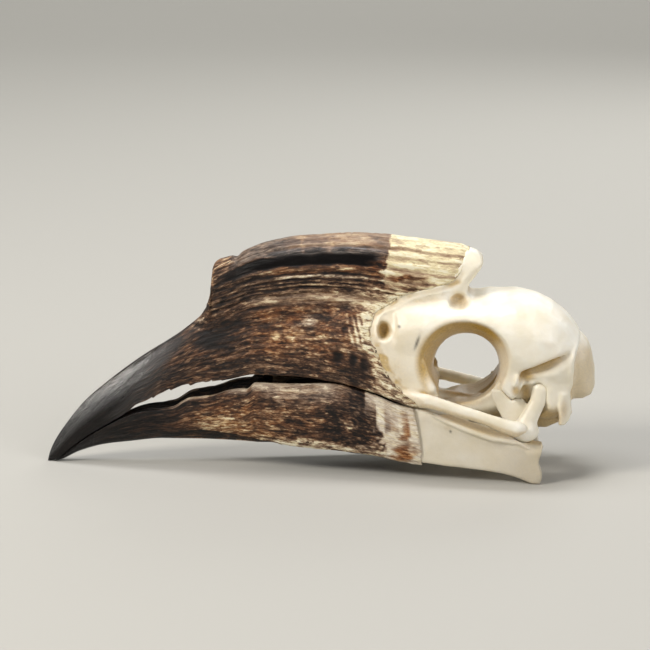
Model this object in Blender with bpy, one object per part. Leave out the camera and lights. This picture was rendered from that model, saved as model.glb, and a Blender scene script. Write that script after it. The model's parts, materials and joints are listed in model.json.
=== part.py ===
"""A trumpeter hornbill skull, dried, with the horn sheaths of its bill and casque in place.

S is the distance back from the bill's tip, Y runs across the skull, and Z is the height above the table.
All three are in millimetres, and place() turns them into metres with X = 0 halfway along the skull.
"""

import math

import bmesh
import bpy
import numpy as np

# Driving dimensions
MM = 0.001
LENGTH = 164.4
GAP = 0.3
SOCKET_GAP = 0.7
HORN_PROUD = 0.5
BONE_VOXEL = 0.7
SKULL_TRIANGLES = 3300
QUADRATE_TRIANGLES = 360
JAW_VOXEL = 0.6
JAW_TRIANGLES = 1500

# The mid-plane line over the bill's tip, up the blunt front of the casque and along its top
CULMEN = [(0, -0.2), (0.6, 2.5), (2.2, 6.1), (6.4, 12.4), (11.5, 18.6), (16.7, 23.3), (27.8, 31.9),
          (39.4, 39.4), (43.4, 42.5), (47.4, 46.1), (49.4, 50.7), (50.2, 55.2), (50.7, 59.8),
          (52, 61.5), (55.8, 63.1), (63.6, 66.9), (69.8, 68.4), (77.5, 69.7), (93.7, 70.8),
          (117.9, 68.6), (130, 67)]
# The bill's own ridge, which goes on under the casque
BILL_TOP = [(0, -0.2), (0.6, 2.5), (2.2, 6.1), (6.4, 12.4), (11.5, 18.6), (16.7, 23.3), (27.8, 31.9),
            (39.4, 39.4), (47.4, 44.2), (56, 47.5), (66, 50), (83, 53), (100, 55.5), (118, 56), (130, 55)]
# The cutting edges, with the steps where they are worn
UPPER_EDGE = [(0, -0.6), (2.8, 0.7), (7.5, 4.7), (12.7, 8.6), (16.4, 11.3), (20, 14.6), (24.1, 16.3),
              (27.6, 19), (30.7, 20.1), (34.8, 22.8), (39.3, 24.3), (45.4, 26.1), (56.2, 27.8),
              (63.7, 29.5), (74.2, 29.5), (86.7, 28.4), (99.1, 25.8), (106.5, 23.2), (111, 22), (118, 21.6)]
LOWER_EDGE = [(2, -0.2), (3, 0.4), (5, 2), (7.5, 4.1), (12.7, 8), (16.2, 10.6), (24.1, 15.1), (31.7, 17.6),
              (38.3, 18.4), (43.8, 21.4), (48.3, 22.2), (57.1, 24.7), (61.1, 25.1), (63.6, 26.9),
              (73.6, 27), (86.7, 27.7), (99.1, 25), (106.5, 22.3), (115, 20.8)]
LOWER_BOTTOM = [(2, -0.9), (4, 0.4), (9.9, 3.2), (17.5, 5.4), (25.1, 6.4), (35.2, 7.5), (65.5, 7.6),
                (77.7, 6.5), (96.5, 5.4), (106.4, 3.8), (115, 3)]
HALF_WIDTH = [(0, 0.6), (5, 1.9), (15, 3.4), (33, 5.4), (48, 7.2), (80, 11.5), (113, 17), (150, 20.5)]
CASQUE_HALF = [(44, 0.3), (47, 2.6), (50, 4.2), (55, 5.4), (65, 6.4), (80, 7.2), (100, 8.2), (130, 9)]
# How boxy the bill's arch is in section: pointed in front, square where it meets the face
ARCH = [(0, 2), (40, 2.2), (80, 2.6), (115, 4)]
LOWER_ARCH = [(0, 2), (45, 2.2), (60, 3.5), (72, 7), (115, 9)]
PALATE_DEPTH = [(0, 0.1), (10, 0.6), (40, 2.5), (80, 4), (118, 4)]

# Growth ridges along the casque: distance below its top, and the depth of the groove there
CASQUE_LEVELS = [(21, 0.4), (19.2, 0), (17.4, 0.45), (15.6, 0), (13.8, 0.5), (12, 0), (10, 0.4), (8, 0),
                 (5, 0), (2.6, 0), (0.8, 0)]
BILL_LEVELS = 5
CASQUE_FRONT = 50
CASQUE_BLEND = 9

# Where the horn ends on the side of the face, from under the cheek up to the casque's back corner
HORN_EDGE = [(114.4, 10), (113.9, 22.1), (113, 23.9), (108.3, 26.7), (104.4, 30.1), (101.8, 34.3),
             (99.4, 38.7), (98.2, 43), (98.7, 47.6), (103.1, 51.3), (109.4, 54.1), (119, 56.7),
             (122.5, 58.3), (124.5, 61.3), (126.2, 64.1), (127.1, 67.5), (127.7, 80)]
LOWER_HORN_EDGE = [(114, -10), (112.4, 12), (110.9, 21.6), (111, 40)]

# Rows of the brain case and the roof between the orbits: S, top, bottom, half-width, widest height
CRANIUM = [(106, 51, 36, 14.5, 42), (110, 52, 34, 15.6, 42), (116, 52.8, 35, 16.6, 43),
           (122, 53.4, 36, 17.2, 44), (128, 53.5, 34, 17.8, 44), (134, 53.9, 29, 18.6, 42.5),
           (140, 54, 26.5, 19.9, 40.5), (146, 52.9, 25.5, 20.3, 39), (151, 50.7, 24.5, 19.6, 37),
           (155, 47.6, 23.5, 18.2, 35), (158, 44.4, 23.5, 16.6, 33.5), (159.6, 42.2, 24, 15.4, 33)]
CASQUE_PILLAR = [(110, 55), (116, 50), (124, 50), (126.3, 53.4), (126.1, 54.8), (126.6, 56.7),
                 (128.6, 59.4), (130.1, 61.8), (130.8, 63), (130.5, 64.4), (129, 66), (127, 67), (118, 67.6),
                 (110, 66)]
OCCIPITAL_BULGE = [(150, 42), (157, 42.5), (160.2, 41), (162, 39.3), (163.2, 36.5), (164.1, 31.3),
                   (164.4, 26.6), (163.4, 23.9), (161, 22.6), (150, 21.5)]
SKULL_BASE = [(136, 22), (140, 17.5), (146.5, 14.2), (150, 13.9), (154.2, 16), (157.5, 19.5), (158.5, 25),
              (146, 29)]
TEMPLE_GROOVE = [(142.5, -20, 31.6), (147.5, -20, 34.3), (152, -18.5, 36.8), (156, -16, 39)]
NUCHAL_CREST = [(159.4, -9, 40.6), (158.9, -12.5, 38), (158.4, -15, 35), (158, -15.6, 30), (157.3, -14.5, 25)]
NUCHAL_FLAT = [(160.3, -11, 36), (160.6, -11, 30), (159.6, -10.5, 26)]
# Rows of the palate's plate, which is the orbit's floor too: S, half-width, bottom, top
PALATE = [(106, 13, 22, 27), (111, 12.6, 20.2, 24), (116, 12, 19, 22), (124, 10.8, 18.2, 20.8),
          (132, 9, 17.6, 20.2), (140, 6.5, 17.3, 20.2), (144, 5.5, 17.4, 21)]

# The orbit, a round tunnel that narrows to the middle: Y, centre S, centre Z, radius along S, radius along Z
ORBIT = [(0, 126.1, 31.4, 9.6, 9.8), (6, 126, 32.1, 10, 10.2), (12, 125.6, 34, 11.4, 11.2),
         (17, 125.2, 36.2, 13.1, 12.2), (21, 125, 37, 14.4, 13.4), (34, 125, 37, 15.5, 14.5)]
NOSTRIL = (101.9, 44.9)
NOSTRIL_TALL = 2.7

# The short spur at the back of the orbit, and the cheek bar from the face to the quadrate
POSTORBITAL = [(141, 17.3, 38), (139.7, 18.2, 33), (138, 18.3, 28.8)]
POSTORBITAL_RADII = [3.4, 2.6, 1.3]
JUGAL = [(109, -16.6, 25), (114.8, -18.7, 24.6), (119.1, -19.6, 23.5), (124, -20.5, 22.2), (128.5, -21.2, 21.1),
         (132.8, -21.9, 19.8), (136.9, -22.4, 18.5), (140.6, -22.6, 17.4)]
JUGAL_RADII = [2.2, 1.9, 1.6, 1.5, 1.5, 1.6, 1.8, 2.3]

# The lower jaw's bone: its top and bottom edges
JAW_TOP = [(62, 22), (80, 25), (95, 23), (104, 20.8), (111.5, 21.6), (115.7, 20.4), (119, 19.8),
           (122.4, 20.1), (123.6, 20.9), (124.8, 19.6), (132, 17.2), (137, 15), (139, 14.2), (142, 12.8),
           (145, 12.3), (148.6, 12.2)]
JAW_BOTTOM = [(62, 9), (80, 7.6), (96, 6.2), (106, 5.2), (114.3, 4.9), (123.1, 4.2), (133.4, 3.3),
              (140.7, 1.9), (143.6, 0.8), (146.4, -0.5), (148, -0.7), (148.6, 2)]
JAW_THICKNESS = 2.4
SYMPHYSIS = 62
CHIN_LENGTH = 9
CHIN_HEIGHT = 11.6
LOWER_HORN_WALL = 1.9

COLOURS = {
    "bone": ((0.83, 0.78, 0.66), 0.5),
    "jaw_bone": ((0.8, 0.76, 0.65), 0.5),
    "small_bone": ((0.8, 0.74, 0.62), 0.55),
    "upper_horn": ((0.085, 0.05, 0.032), 0.42),
    "lower_horn": ((0.13, 0.065, 0.033), 0.5),
}


def line(points):
    """A smooth function through (S, value) points, with no overshoot between them."""
    s, v = np.array(points, float)[:, :2].T
    rise = np.diff(v) / np.diff(s)
    product = rise[:-1] * rise[1:]
    inner = np.where(product > 0, 2 * product / np.where(product > 0, rise[:-1] + rise[1:], 1), 0)
    slope = np.concatenate([rise[:1], inner, rise[-1:]])

    def value(at):
        at = np.clip(at, s[0], s[-1])
        i = np.clip(np.searchsorted(s, at) - 1, 0, len(s) - 2)
        span = s[i + 1] - s[i]
        t = (at - s[i]) / span
        ends = (1 + 2 * t) * (1 - t) ** 2 * v[i] + t * t * (3 - 2 * t) * v[i + 1]
        return ends + span * t * (1 - t) * ((1 - t) * slope[i] - t * slope[i + 1])

    return value


culmen, bill_top, upper_edge = line(CULMEN), line(BILL_TOP), line(UPPER_EDGE)
lower_edge, lower_bottom, half_width = line(LOWER_EDGE), line(LOWER_BOTTOM), line(HALF_WIDTH)
casque_half, arch, palate_depth = line(CASQUE_HALF), line(ARCH), line(PALATE_DEPTH)
lower_arch = line(LOWER_ARCH)
jaw_top, jaw_bottom = line(JAW_TOP), line(JAW_BOTTOM)


def place(points):
    """Metres, with X = 0 halfway along the skull, from (S, Y, Z) in millimetres."""
    points = np.array(points, float)
    points[..., 0] -= LENGTH / 2
    return points * MM


def material(name):
    colour, roughness = COLOURS[name]
    made = bpy.data.materials.new(name)
    made.use_nodes = True
    shader = made.node_tree.nodes["Principled BSDF"]
    shader.inputs["Base Color"].default_value = (*colour, 1)
    shader.inputs["Roughness"].default_value = roughness
    shader.inputs["Metallic"].default_value = 0
    return made


def solid(name, points, faces):
    """A mesh object from (S, Y, Z) points, with its faces turned outwards."""
    mesh = bpy.data.meshes.new(name)
    mesh.from_pydata(place(points).tolist(), [], faces)
    made = bpy.data.objects.new(name, mesh)
    bpy.context.scene.collection.objects.link(made)
    shape = bmesh.new()
    shape.from_mesh(mesh)
    bmesh.ops.recalc_face_normals(shape, faces=shape.faces)
    shape.to_mesh(mesh)
    shape.free()
    return made


def loft(name, rings):
    """A closed skin over rings that all have the same number of points."""
    count = len(rings[0])
    faces = [list(range(count)), [(len(rings) - 1) * count + i for i in range(count)]]
    for r in range(len(rings) - 1):
        for i in range(count):
            j = (i + 1) % count
            faces.append([r * count + i, r * count + j, (r + 1) * count + j, (r + 1) * count + i])
    return solid(name, np.concatenate(rings), faces)


def offset(points, distance):
    """An open or closed (S, Z) line moved to its right-hand side by a distance."""
    points = np.array(points, float)
    along = np.gradient(points, axis=0)
    along /= np.linalg.norm(along, axis=1)[:, None]
    return points + distance * np.stack([along[:, 1], -along[:, 0]], 1)


def shrunk(profile, amount):
    """A closed (S, Z) outline drawn in towards its middle by about an amount."""
    profile = np.array(profile, float)
    away = profile - profile.mean(axis=0)
    reach = np.linalg.norm(away, axis=1)[:, None]
    return profile - away / reach * np.minimum(amount, 0.8 * reach)


def pillow(name, profile, half, rounding):
    """A side profile made solid from -half to half across, with rounded flanks."""
    rings = []
    for turn in np.linspace(-90, 90, 9):
        y = (half - rounding) * np.sign(turn) + rounding * math.sin(math.radians(turn))
        flat = shrunk(profile, rounding * (1 - math.cos(math.radians(turn))))
        rings.append(np.stack([flat[:, 0], np.full(len(flat), y), flat[:, 1]], 1))
    return loft(name, rings)


def slab(name, profile, near=-40, far=40):
    """A side profile pushed straight across the skull, for cutting with."""
    flat = np.array(profile, float)
    return loft(name, [np.stack([flat[:, 0], np.full(len(flat), y), flat[:, 1]], 1) for y in (near, far)])


def ball(name, centre, radii):
    shape = bmesh.new()
    bmesh.ops.create_icosphere(shape, subdivisions=3, radius=1)
    points = [np.array(v.co) * radii + centre for v in shape.verts]
    faces = [[v.index for v in face.verts] for face in shape.faces]
    shape.free()
    return solid(name, points, faces)


def tube(name, path, radii, sides=10, flat=1.0):
    """A round bar along a path; flat is its width across the skull as a share of its height."""
    path = np.array(path, float)
    along = np.gradient(path, axis=0)
    rings = []
    for centre, direction, radius in zip(path, along, radii):
        direction = direction / np.linalg.norm(direction)
        side = np.cross(direction, (0, 0, 1) if abs(direction[2]) < 0.8 else (1, 0, 0))
        side /= np.linalg.norm(side)
        up = np.cross(side, direction)
        turns = np.arange(sides) * 2 * math.pi / sides
        rings.append(centre + radius * (flat * np.cos(turns)[:, None] * side + np.sin(turns)[:, None] * up))
    return loft(name, rings)


def mirrored(points):
    """The same (S, Y, Z) points on the skull's other side."""
    points = np.array(points, float)
    points[..., 1] *= -1
    return points


def drop(item):
    mesh = item.data
    bpy.data.objects.remove(item)
    bpy.data.meshes.remove(mesh)


def settle(item):
    """Keeps the shape that an object's modifiers give, and removes the modifiers."""
    bpy.context.view_layer.update()
    shape = bpy.data.meshes.new_from_object(item.evaluated_get(bpy.context.evaluated_depsgraph_get()))
    item.modifiers.clear()
    old = item.data
    item.data = shape
    bpy.data.meshes.remove(old)
    return item


def combine(item, other, operation):
    """A Boolean with another object, which is used up."""
    modifier = item.modifiers.new(operation.lower(), "BOOLEAN")
    modifier.operation = operation
    modifier.object = other
    settle(item)
    drop(other)
    return item


def together(name, items):
    """One object that holds the meshes of several, still overlapping."""
    shape = bmesh.new()
    for item in items:
        shape.from_mesh(item.data)
        drop(item)
    mesh = bpy.data.meshes.new(name)
    shape.to_mesh(mesh)
    shape.free()
    made = bpy.data.objects.new(name, mesh)
    bpy.context.scene.collection.objects.link(made)
    return made


def fuse(item, voxel, rounds):
    """Grows overlapping shapes together into one skin, and softens where they meet."""
    skin = item.modifiers.new("skin", "REMESH")
    skin.mode = "VOXEL"
    skin.voxel_size = voxel * MM
    soften = item.modifiers.new("soften", "SMOOTH")
    soften.factor = 0.5
    soften.iterations = rounds
    return settle(item)


def thin(item, triangles):
    """Brings a fused skin down to a number of triangles."""
    item.data.calc_loop_triangles()
    modifier = item.modifiers.new("thin", "DECIMATE")
    modifier.ratio = triangles / len(item.data.loop_triangles)
    return settle(item)


def press(item, path, radius, depth, both=True):
    """Moves a skin along its normals beside a path: in for a positive depth, out for a negative one."""
    mesh = item.data
    points = np.empty(len(mesh.vertices) * 3)
    normals = np.empty(len(mesh.vertices) * 3)
    mesh.vertices.foreach_get("co", points)
    mesh.vertices.foreach_get("normal", normals)
    points, normals = points.reshape(-1, 3), normals.reshape(-1, 3)
    sides = [path, mirrored(path)] if both else [path]
    for side in sides:
        nearest = np.full(len(points), np.inf)
        ends = place(side)
        for a, b in zip(ends[:-1], ends[1:]):
            along = np.clip((points - a) @ (b - a) / ((b - a) @ (b - a)), 0, 1)
            nearest = np.minimum(nearest, np.linalg.norm(points - a - along[:, None] * (b - a), axis=1))
        weight = np.exp(-((nearest / (radius * MM)) ** 2))
        points -= normals * (weight * depth * MM)[:, None]
    mesh.vertices.foreach_set("co", points.ravel())
    mesh.update()


def upper_half_width(s, z):
    """Half the upper bill's width at a height: the bill's arch, or the casque's wall where that is wider."""
    low, top = upper_edge(s), culmen(s)
    rise = np.clip((z - low) / (bill_top(s) - low), 0, 1)
    bill = half_width(s) * (1 - rise ** arch(s)) ** 0.6
    cap = 1.3 * casque_half(s)
    casque = casque_half(s) * np.sqrt(np.clip(1 - np.clip((z - top + cap) / cap, 0, 1) ** 2, 0, 1))
    blend = 0.5
    return 0.5 * (bill + casque + np.sqrt((bill - casque) ** 2 + blend ** 2)) * (z < top)


def upper_levels(s, low, top):
    """Heights of a section's side points, with the groove at each. Along the casque they follow its top."""
    count = len(CASQUE_LEVELS) + BILL_LEVELS
    plain = [low + (top - low) * math.sin(math.pi / 2 * k / count) for k in range(count)]
    foot = top - CASQUE_LEVELS[0][0]
    bill = [(low + (foot - low) * k / BILL_LEVELS, 0) for k in range(BILL_LEVELS)]
    followed = [*bill, *((top - down, groove) for down, groove in CASQUE_LEVELS)]
    share = min(max((s - CASQUE_FRONT) / CASQUE_BLEND, 0), 1)
    return [(z + (to - z) * share, groove * share) for z, (to, groove) in zip(plain, followed)]


def upper_ring(s, inset):
    """One section of the upper bill, from the middle of the palate round both sides."""
    low, top = float(upper_edge(s)), float(culmen(s)) - inset
    edge = 0.75 * float(half_width(s)) - inset
    depth = float(palate_depth(s))
    half = [(edge * k / 3, low + depth * (1 - (k / 3) ** 2)) for k in range(4)]
    for z, groove in upper_levels(s, low + min(0.4, 0.2 * (top - low)), top):
        wide = float(upper_half_width(s, z + inset)) - inset
        half.append((max(wide - groove, 0.15), z))
    other = [(-y, z) for y, z in reversed(half[1:])]
    return [(s, y, z) for y, z in [*half, (0, top), *other]]


def upper_stations(first, last):
    """Sections close together at the tip and at the casque's steep front, and wider apart elsewhere."""
    wanted = [0.15, 0.6, 1.3, 2.4, 4.2, 6.6, 9.5, 13, 17, 21, 26, 31, 36, 41, 44.5, 47, 48.5, 49.5, 50.1,
              50.7, 52, 54, 57, 61, 67, 74, 82, 90, 98, 104, 109, 113, 117, 121, 125, 129.5]
    return [s for s in wanted if first <= s <= last]


def table_cut(item):
    """Takes off what would be under the table, which leaves the small flats that the skull stands on."""
    return combine(item, slab("under", [(-20, -20), (190, -20), (190, 0), (-20, 0)], -60, 60), "DIFFERENCE")


def behind(edge, gap):
    """The side region behind a horn edge, as a closed outline."""
    moved = offset(edge, gap)
    return [*moved.tolist(), (200, moved[-1][1]), (200, moved[0][1])]


def upper_bill_sheath():
    made = loft("upper_bill_sheath", [upper_ring(s, 0) for s in upper_stations(0, 130)])
    combine(made, slab("face_side", behind(HORN_EDGE, 0)), "DIFFERENCE")
    return table_cut(made)


def lower_ring(s, levels):
    """One section of the lower bill: a trough in front, and a full arch behind that is cut into two sides."""
    low, top = float(lower_bottom(s)), float(lower_edge(s))
    wide = float(half_width(s)) * 0.97
    trough = min(0.35 * (top - low), 0.06 * s)
    inner = 0.7 * wide
    half = [(inner * k / 3, top - trough * (1 - (k / 3) ** 2)) for k in range(4)]
    boxy = float(lower_arch(s))
    shoulder = top - min(0.3, 0.2 * (top - low))
    for k in range(levels):
        turn = math.pi / 2 * k / levels
        down = (shoulder - low) * math.sin(turn) ** (2 / boxy)
        half.append((wide * math.cos(turn) ** (2 / boxy), shoulder - down))
    other = [(-y, z) for y, z in reversed(half[1:])]
    return [(s, y, z) for y, z in [*half, (0, low), *other]]


def jaw_space(name, front, wall, last=170):
    """The wedge between the jaw's two sides, open below and behind; wall is what is left outside it."""
    start = front + CHIN_LENGTH
    far = [(s, float(half_width(s)) - wall) for s in np.linspace(start, last, 10)]
    turns = np.radians(np.arange(75, -90, -15))
    nose = [(front + CHIN_LENGTH * (1 - math.cos(a)), far[0][1] * math.sin(a)) for a in turns]
    flat = [*reversed(far), *nose, *((s, -y) for s, y in far)]
    return loft(name, [[(s, y, z) for s, y in flat] for z in (-20, 60)])


def lower_bill_sheath():
    stations = [2.3, 3, 4.5, 7, 11, 16, 21, 26, 31, 36, 41, 46, 51, 56, 61, 66, 72, 79, 86, 93, 99, 104,
                109, 115]
    made = loft("lower_bill_sheath", [lower_ring(s, 8) for s in stations])
    table_cut(made)
    combine(made, slab("jaw_side", behind(LOWER_HORN_EDGE, 0)), "DIFFERENCE")
    return combine(made, jaw_space("space", SYMPHYSIS - GAP, LOWER_HORN_WALL), "DIFFERENCE")


def jaw_ring(s):
    """One section of the left side of the lower jaw: a thin standing plate with a ledge along its flank."""
    low, top = float(jaw_bottom(s)), float(jaw_top(s))
    outer = float(half_width(s)) - HORN_PROUD
    lining = (LOWER_HORN_WALL + GAP - HORN_PROUD) * np.clip((118 - s) / 12, 0, 1)
    inner = outer - JAW_THICKNESS - lining - 2.2 * np.clip((s - 136) / 8, 0, 1)
    tall = top - low
    ledge = 0.45 * np.clip((s - 112) / 6, 0, 1) * np.clip((146 - s) / 8, 0, 1)
    flank = [(0.05, -0.35), (0.3, -0.05), (0.62, 0), (0.74, ledge), (0.84, 0), (0.97, -0.45)]
    near = [(outer + out, low + tall * share) for share, out in flank]
    far = [(inner + 0.35, top - 0.05 * tall), (inner, low + 0.6 * tall), (inner + 0.1, low + 0.3 * tall),
           (inner + 0.5, low + 0.05 * tall)]
    crest = [(0.5 * (inner + outer), top)]
    keel = [(0.5 * (inner + outer), low)]
    return [(s, -y, z) for y, z in [*near, *crest, *far, *keel]]


def jaw_half(side):
    """One side of the jaw's bone, with the broad pad under the quadrate at its back."""
    stations = [70.5, 76, 84, 92, 100, 107, 111, 115, 118.5, 121.5, 122.9, 123.6, 124.4, 126, 130, 134,
                138, 141, 144, 146.2, 147.6, 148.6]
    rings = [np.array(jaw_ring(s)) for s in stations]
    pad = [(139, -17.5, 10.2), (143.4, -15.6, 9.8), (146.6, -14.6, 9.4), (147.4, -12.4, 9.2)]
    if side > 0:
        rings, pad = [mirrored(ring) for ring in rings], mirrored(pad)
    return [loft("plate", rings), tube("pad", pad, [2, 2.9, 2.4, 1.3])]


def lower_jaw():
    reach = float(half_width(SYMPHYSIS + CHIN_LENGTH)) - LOWER_HORN_WALL - GAP - JAW_THICKNESS / 2
    front = SYMPHYSIS + JAW_THICKNESS / 2
    turns = np.radians(np.arange(-90, 91, 15))
    chin = [(front + CHIN_LENGTH * (1 - math.cos(a)), reach * math.sin(a), 15.2) for a in turns]
    bar = tube("chin", chin, [CHIN_HEIGHT / 2] * len(chin), flat=JAW_THICKNESS / CHIN_HEIGHT)
    made = fuse(together("lower_jaw", [bar, *jaw_half(-1), *jaw_half(1)]), JAW_VOXEL, 2)
    # The hollow back edge between the hinge and the heel that the skull stands on
    heel = [(151.9, -30, 6.6), (151.9, 30, 6.6)]
    combine(made, tube("heel", heel, [4.3, 4.3], sides=20), "DIFFERENCE")
    thin(made, JAW_TRIANGLES)
    for side in (-1, 1):
        combine(made, quadrate_form("socket", side, SOCKET_GAP), "DIFFERENCE")
    # In front of the horn's edge only the lining inside the horn's wall is left
    horn_side = slab("horn_side", [*offset(LOWER_HORN_EDGE, GAP).tolist(), (50, 50), (50, -20)], -30, 30)
    combine(horn_side, jaw_space("lining", SYMPHYSIS, LOWER_HORN_WALL + GAP), "DIFFERENCE")
    combine(made, horn_side, "DIFFERENCE")
    return table_cut(made)


def flip(item):
    """Turns a shape into its mirror image across the skull's middle."""
    for vertex in item.data.vertices:
        vertex.co.y = -vertex.co.y
    item.data.flip_normals()
    return item


def quadrate_form(name, side, grow):
    """A quadrate: a saddle-shaped body, the process up to the skull and the thin plate towards the orbit."""
    body = ball("body", (143.6, -16.8, 15.5), (3.9 + grow, 3.6 + grow, 3.2 + grow))
    process = tube("process", [(143, -16.8, 16), (145, -16.4, 20), (147, -15.8, 24), (147.8, -15.2, 27.4)],
                   [3.2 + grow, 2.5 + grow, 2.3 + grow, 2.5 + grow], flat=0.8)
    plate = [(134.8, 27.8), (135.6, 25.5), (136.8, 21.5), (137.9, 17.5), (142.5, 14.8), (146, 18), (144.6, 22),
             (141.8, 23.9), (139.5, 24), (137.4, 25.8)]
    rings = []
    for thick in (-1, 1):
        half = 0.75 + grow
        rings.append([(s, -13.4 - 0.28 * (s - 140) + thick * half, z) for s, z in plate])
    made = together(name, [body, process, loft("plate", rings)])
    thin(fuse(made, 0.55, 2), QUADRATE_TRIANGLES)
    return made if side < 0 else flip(made)


def pterygoid(name, side):
    """The strut from a quadrate to the back of the palate."""
    path = [(140.4, -11.8, 15.8), (138.2, -10.4, 15.2), (135.6, -8.8, 14.9), (132.4, -7, 15)]
    made = tube(name, path, [1.7, 1.1, 1.2, 1.7], sides=8, flat=0.6)
    return made if side < 0 else flip(made)


def palate_ring(s, half, bottom, top):
    middle, reach = (bottom + top) / 2, (top - bottom) / 2
    turns = np.arange(16) * 2 * math.pi / 16
    across = half * np.sign(np.cos(turns)) * np.abs(np.cos(turns)) ** 0.5
    up = reach * np.sign(np.sin(turns)) * np.abs(np.sin(turns)) ** 0.7
    return np.stack([np.full(16, s), across, middle + up], 1)


def cranium_ring(row):
    """A section of the skull's dome, flatter on top than below."""
    s, top, bottom, wide, middle = row
    ring = []
    for turn in np.arange(28) * 2 * math.pi / 28:
        across, up = math.cos(turn), math.sin(turn)
        reach, power = (top - middle, 0.8) if up > 0 else (middle - bottom, 0.95)
        y = wide * math.copysign(abs(across) ** power, across)
        ring.append((s, y, middle + reach * math.copysign(abs(up) ** power, up)))
    return ring


def cranium_rows():
    """The rows of CRANIUM with smooth ones between."""
    stations = [row[0] for row in CRANIUM]
    columns = [line([(row[0], row[k]) for row in CRANIUM]) for k in range(1, 5)]
    for s in np.linspace(stations[0], stations[-1], 24):
        yield (s, *(float(column(s)) for column in columns))


def orbit_cutter():
    centre_s, centre_z = line([(r[0], r[1]) for r in ORBIT]), line([(r[0], r[2]) for r in ORBIT])
    wide, tall = line([(r[0], r[3]) for r in ORBIT]), line([(r[0], r[4]) for r in ORBIT])
    rings = []
    for y in np.linspace(-34, 34, 35):
        out = abs(y)
        turns = np.arange(40) * 2 * math.pi / 40
        rings.append(np.stack([centre_s(out) + wide(out) * np.cos(turns), np.full(40, y),
                               centre_z(out) + tall(out) * np.sin(turns)], 1))
    return loft("orbit", rings)


def skull():
    face = loft("face", [upper_ring(s, HORN_PROUD) for s in (94, 99, 104, 109, 114, 118)])
    dome = loft("dome", [cranium_ring(row) for row in cranium_rows()])
    pieces = [
        face, dome,
        pillow("pillar", CASQUE_PILLAR, 8.2, 2.6),
        pillow("bulge", OCCIPITAL_BULGE, 9, 4),
        pillow("base", SKULL_BASE, 9, 3),
        loft("palate", [palate_ring(*row) for row in PALATE]),
    ]
    for side in (-1, 1):
        pieces += [
            ball("front_lobe", (151.6, side * 15, 26.5), (3.8, 2.6, 5)),
            ball("rear_lobe", (156, side * 14, 24), (2.6, 2.4, 6)),
            ball("ear_wall", (149, side * 11, 24), (7, 5, 7)),
            tube("postorbital", [(s, side * y, z) for s, y, z in POSTORBITAL], POSTORBITAL_RADII),
        ]
    made = fuse(together("skull", pieces), BONE_VOXEL, 3)
    combine(made, orbit_cutter(), "DIFFERENCE")
    for side in (-1, 1):
        combine(made, ball("pit", (123.7, side * 10.4, 52.9), (3.3, 5, 2.2)), "DIFFERENCE")
        # The space in which the quadrate and the jaw muscle sit, under the brain case's flank
        combine(made, ball("muscle", (141, side * 17.5, 19.5), (7.5, 6.5, 8.5)), "DIFFERENCE")
    combine(made, ball("foramen", (160.5, 0, 19.2), (4.2, 3.8, 4)), "DIFFERENCE")
    bars = [tube("jugal", path, JUGAL_RADII, flat=0.75) for path in (JUGAL, mirrored(JUGAL))]
    rostrum = tube("rostrum", [(112, 0, 22), (126, 0, 20.6), (140, 0, 19.5)], [2.6, 2, 2.6])
    condyle = ball("condyle", (157.6, 0, 16.8), (1.8, 1.6, 1.5))
    made = fuse(together("skull", [made, *bars, rostrum, condyle]), BONE_VOXEL * 0.85, 2)
    # The groove of the temple, the sharp crest round the back of the head and the flat behind it
    press(made, TEMPLE_GROOVE, 2.2, 2.2)
    press(made, NUCHAL_CREST, 1.2, -1)
    press(made, NUCHAL_FLAT, 2, 1)
    thin(made, SKULL_TRIANGLES)
    for side in (-1, 1):
        combine(made, quadrate_form("socket", side, SOCKET_GAP), "DIFFERENCE")
        nostril = [(NOSTRIL[0], side * 8, NOSTRIL[1]), (NOSTRIL[0], side * 22, NOSTRIL[1])]
        combine(made, tube("nostril", nostril, [NOSTRIL_TALL] * 2, sides=14, flat=0.75), "DIFFERENCE")
    horn_side = slab("horn_side", [*offset(HORN_EDGE, GAP).tolist(), (60, 80), (60, 10)])
    return combine(made, horn_side, "DIFFERENCE")


def finish(item, finish_name):
    item.data.materials.clear()
    item.data.materials.append(bpy.data.materials[finish_name])
    item.data.shade_smooth()
    item.data.set_sharp_from_angle(angle=math.radians(50))


def build():
    for old in list(bpy.data.objects):
        bpy.data.objects.remove(old)
    for name in COLOURS:
        material(name)
    finish(skull(), "bone")
    finish(upper_bill_sheath(), "upper_horn")
    finish(lower_jaw(), "jaw_bone")
    finish(lower_bill_sheath(), "lower_horn")
    for word, side in (("left", -1), ("right", 1)):
        finish(quadrate_form(f"{word}_quadrate", side, 0), "small_bone")
        finish(pterygoid(f"{word}_pterygoid", side), "small_bone")


build()
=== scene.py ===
import json
import math

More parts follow.
